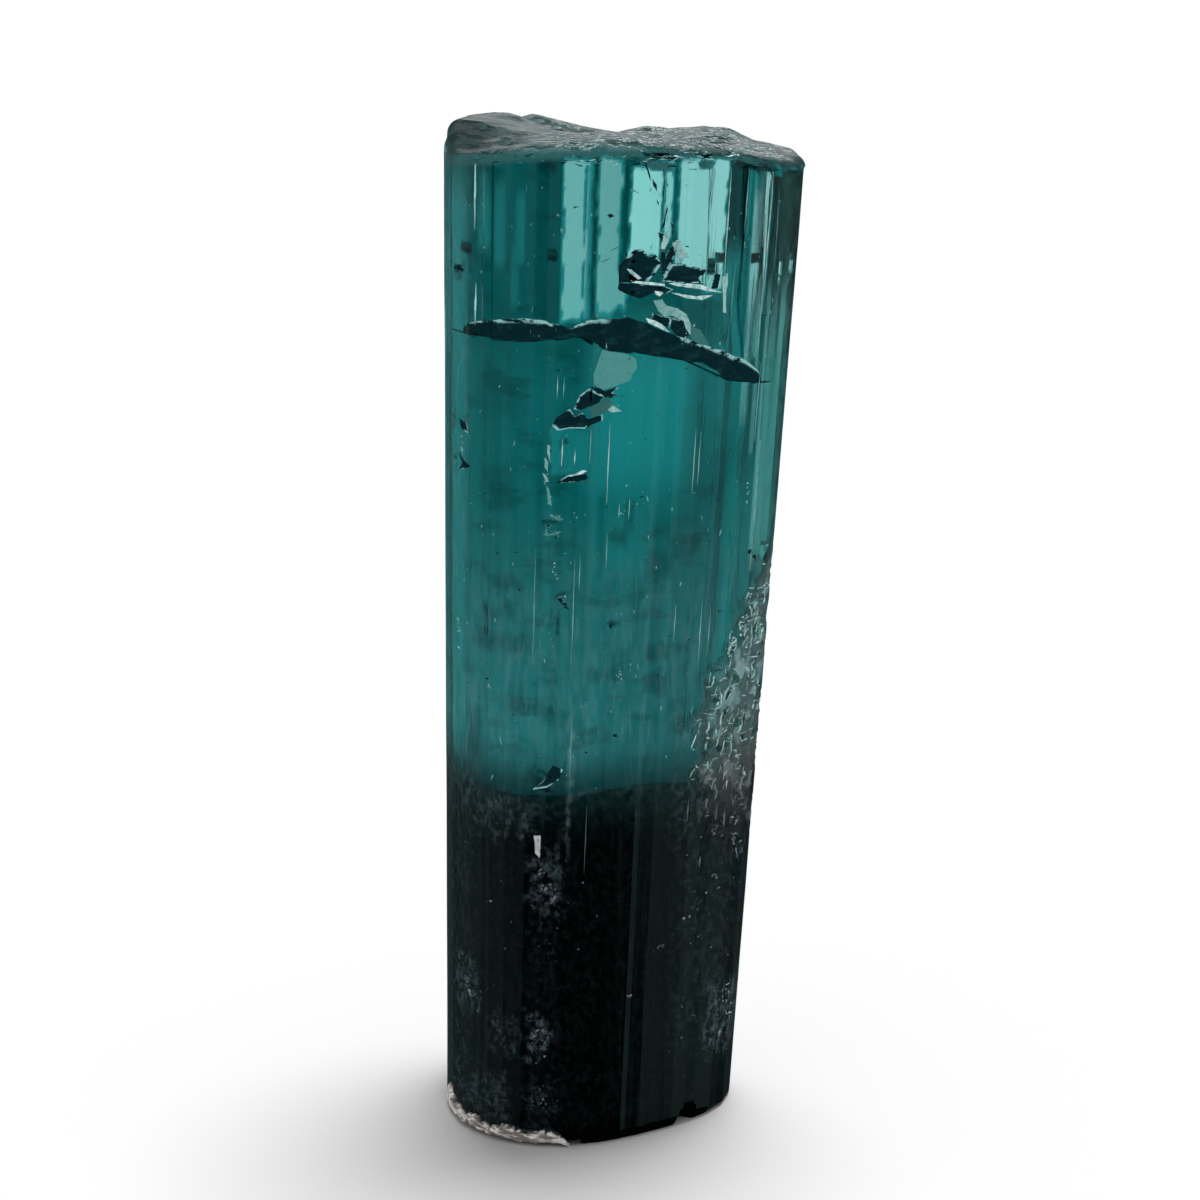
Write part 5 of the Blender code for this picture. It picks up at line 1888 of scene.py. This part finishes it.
@dataclass
class Studio:
    """Pale floor, soft light and the camera at the photograph's angle."""

    camera_place: tuple[float, float, float] = (-0.74, -115.0, 44.0)
    pitch_degrees: float = 12.52
    focal_px: float = 3333.0
    image_px: float = 1200.0
    sensor: float = 36.0
    nearest: float = 1.0
    farthest: float = 20000.0
    floor_half: float = 4000.0
    floor_drop: float = 0.005
    floor_colour: Colour = (0.36, 0.36, 0.36, 1.0)
    sun_energy: float = 6.0
    sun_degrees: float = 26.0
    sun_place: tuple[float, float, float] = (50.0, 100.0, 450.0)
    white: Colour = (1.0, 1.0, 1.0, 1.0)
    low_glow: Colour = (0.60, 1.0, 1.0, 1.0)
    high_glow: Colour = (0.95, 1.0, 1.0, 1.0)
    left_light: Ramp = (-1.0, -0.50, 0.10, 0.006)
    right_light: Ramp = (0.66, 1.0, 0.0, 0.16)
    back_light: Ramp = (0.3, 0.95, 0.0, 0.03)
    horizon: Pair = (-0.02, 0.06)
    first_rise: Ramp = (0.0, 0.10, 0.03, 0.30)
    second_rise: Ramp = (0.12, 0.24, 0.0, 0.65)
    upper_fall: Ramp = (0.30, 0.50, 0.0, 0.90)
    band_left: Ramp = (-0.30, -0.04, 0.04, 0.85)
    band_right: Ramp = (0.12, 0.42, 1.0, 0.04)
    band_back: Pair = (0.0, 0.30)
    upper_least: float = 0.012

    def build(self) -> None:
        """Make everything that isn't part of the object."""
        self.floor()
        self.world()
        self.light()
        self.camera()

    def floor(self) -> None:
        """Flat pale floor."""
        bpy.ops.object.select_all(action="DESELECT")
        bpy.ops.mesh.primitive_plane_add(size=2 * self.floor_half * MM,
                                         location=(0, 0, -self.floor_drop * MM))
        floor = bpy.context.object
        floor.name = "floor"
        paint, _, shader = start_material("floor_paint")
        shader.inputs["Base Color"].default_value = self.floor_colour
        shader.inputs["Roughness"].default_value = 0.9
        shader.inputs["Specular IOR Level"].default_value = 0.0
        floor.data.materials.append(paint)
        floor.visible_glossy = False

    def world(self) -> None:
        """White surroundings, which the stone's gloss sees as dark with a few soft lights."""
        world = bpy.data.worlds.new("studio")
        bpy.context.scene.world = world
        world.use_nodes = True
        sheet = NodeSheet(world.node_tree)
        background = world.node_tree.nodes["Background"]
        direction = sheet.add("ShaderNodeTexCoord").outputs["Generated"]
        x, y, z = sheet.add("ShaderNodeSeparateXYZ", {"Vector": direction}).outputs
        over_horizon = sheet.ease(z, *self.horizon)
        gloss = sheet.mix_values(over_horizon, self.side_gloss(sheet, x, y), self.upper_gloss(sheet, x, y, z))
        glossy = sheet.add("ShaderNodeLightPath").outputs["Is Glossy Ray"]
        sheet.put(sheet.mix_values(glossy, 1.0, gloss), background.inputs["Strength"])
        reflected = sheet.mix(over_horizon, self.low_glow, self.high_glow)
        sheet.put(sheet.mix(glossy, self.white, reflected), background.inputs["Color"])

    def side_gloss(self, sheet: NodeSheet, x: Socket, y: Socket) -> Socket:
        """Light that the gloss sees level with the stone, at the left, right and back."""
        sides = sheet.math("ADD", sheet.ease(x, *self.left_light), sheet.ease(x, *self.right_light))
        return sheet.math("ADD", sides, sheet.ease(y, *self.back_light))

    def upper_gloss(self, sheet: NodeSheet, x: Socket, y: Socket, z: Socket) -> Socket:
        """Light that the broken top sees: a band behind the stone, a little above the horizon."""
        rise = sheet.math("ADD", sheet.ease(z, *self.first_rise), sheet.ease(z, *self.second_rise))
        above = sheet.math("SUBTRACT", rise, sheet.ease(z, *self.upper_fall))
        narrow = sheet.math("MULTIPLY", sheet.ease(x, *self.band_left), sheet.ease(x, *self.band_right))
        band = sheet.math("MULTIPLY", sheet.ease(y, *self.band_back), narrow)
        return sheet.math("MULTIPLY_ADD", above, band, self.upper_least)

    def light(self) -> None:
        """One large soft sun, nearly overhead."""
        lamp = bpy.data.lights.new("overhead", "SUN")
        lamp.energy = self.sun_energy
        lamp.angle = math.radians(self.sun_degrees)
        overhead = bpy.data.objects.new("overhead", lamp)
        overhead.location = Vector(self.sun_place) * MM
        overhead.rotation_euler = (-overhead.location).to_track_quat("-Z", "Y").to_euler()
        overhead.visible_glossy = False
        overhead.visible_transmission = False
        bpy.context.scene.collection.objects.link(overhead)

    def camera(self) -> None:
        """Camera level with the top, looking a little down."""
        lens = bpy.data.cameras.new("camera")
        lens.sensor_width = self.sensor
        lens.lens = self.focal_px / self.image_px * self.sensor
        lens.clip_start = self.nearest * MM
        lens.clip_end = self.farthest * MM
        camera = bpy.data.objects.new("camera", lens)
        camera.location = Vector(self.camera_place) * MM
        camera.rotation_euler = (math.radians(90.0 - self.pitch_degrees), 0.0, 0.0)
        bpy.context.scene.collection.objects.link(camera)
        bpy.context.scene.camera = camera


def set_look() -> None:
    """Plain colours, and enough light bounces for a see-through stone."""
    scene = bpy.context.scene
    scene.view_settings.view_transform = "Standard"
    scene.cycles.max_bounces = 16
    scene.cycles.glossy_bounces = 12
    scene.cycles.transmission_bounces = 16
    scene.cycles.transparent_max_bounces = 24


def paint_skin(stone: Stone, skin: bpy.types.Object, marks: SkinMarks) -> None:
    """Store every mark of the skin that the finishes read."""
    paint = SkinPaint(stone, skin)
    # Clear marks hold painted light, the next layer painted shade, and wear marks scuffs with painted
    # reflections.
    paint.layer("clear", marks.clear)
    paint.layer("painted_shade", marks.painted_shade)
    paint.layer("wear", marks.wear)
    paint.etched()
    paint.top()


def main() -> None:
    """Build the studio and every piece of the crystal."""
    logging.basicConfig(level=logging.INFO, format="%(message)s")
    noise.seed_set(NOISE_SEED)
    set_look()
    Studio().build()
    stone = Stone()
    effects = Effects(stone.prism)
    marks = SkinMarks()
    skin = CrystalSkin(stone, marks.windows()).build()
    paint_skin(stone, skin, marks)
    film = SurfaceWearAndSheen().build(skin, WearAndSheenFinish().make(effects))
    skin.data.materials.append(GemFinish().make(effects))
    ride_with(skin, Slot.TOURMALINE, "crystal")
    ride_with(film, Slot.TOURMALINE)
    crack = CrackFinish().make(effects)
    fleck = FleckAndGlintFinish().make(effects)
    surface = Surface(stone, skin)
    ride_with(MainFracture(surface).build(crack), Slot.TOURMALINE)
    scatter = Scatter()
    ride_with(FlakeSheets(surface, "dark_cracks_and_shade", scatter.dark()).build(crack), Slot.TOURMALINE)
    pale = FlakeSheets(surface, "pale_flecks_and_glints", scatter.pale(stone), thickness=0.034, jaggedness=0.08)
    ride_with(pale.build(fleck), Slot.TOURMALINE)
    ride_with(PaleRind(stone).build(RockFinish().make(effects)), Slot.ROCK, "matrix_rind")


if __name__ == "__main__":
    main()
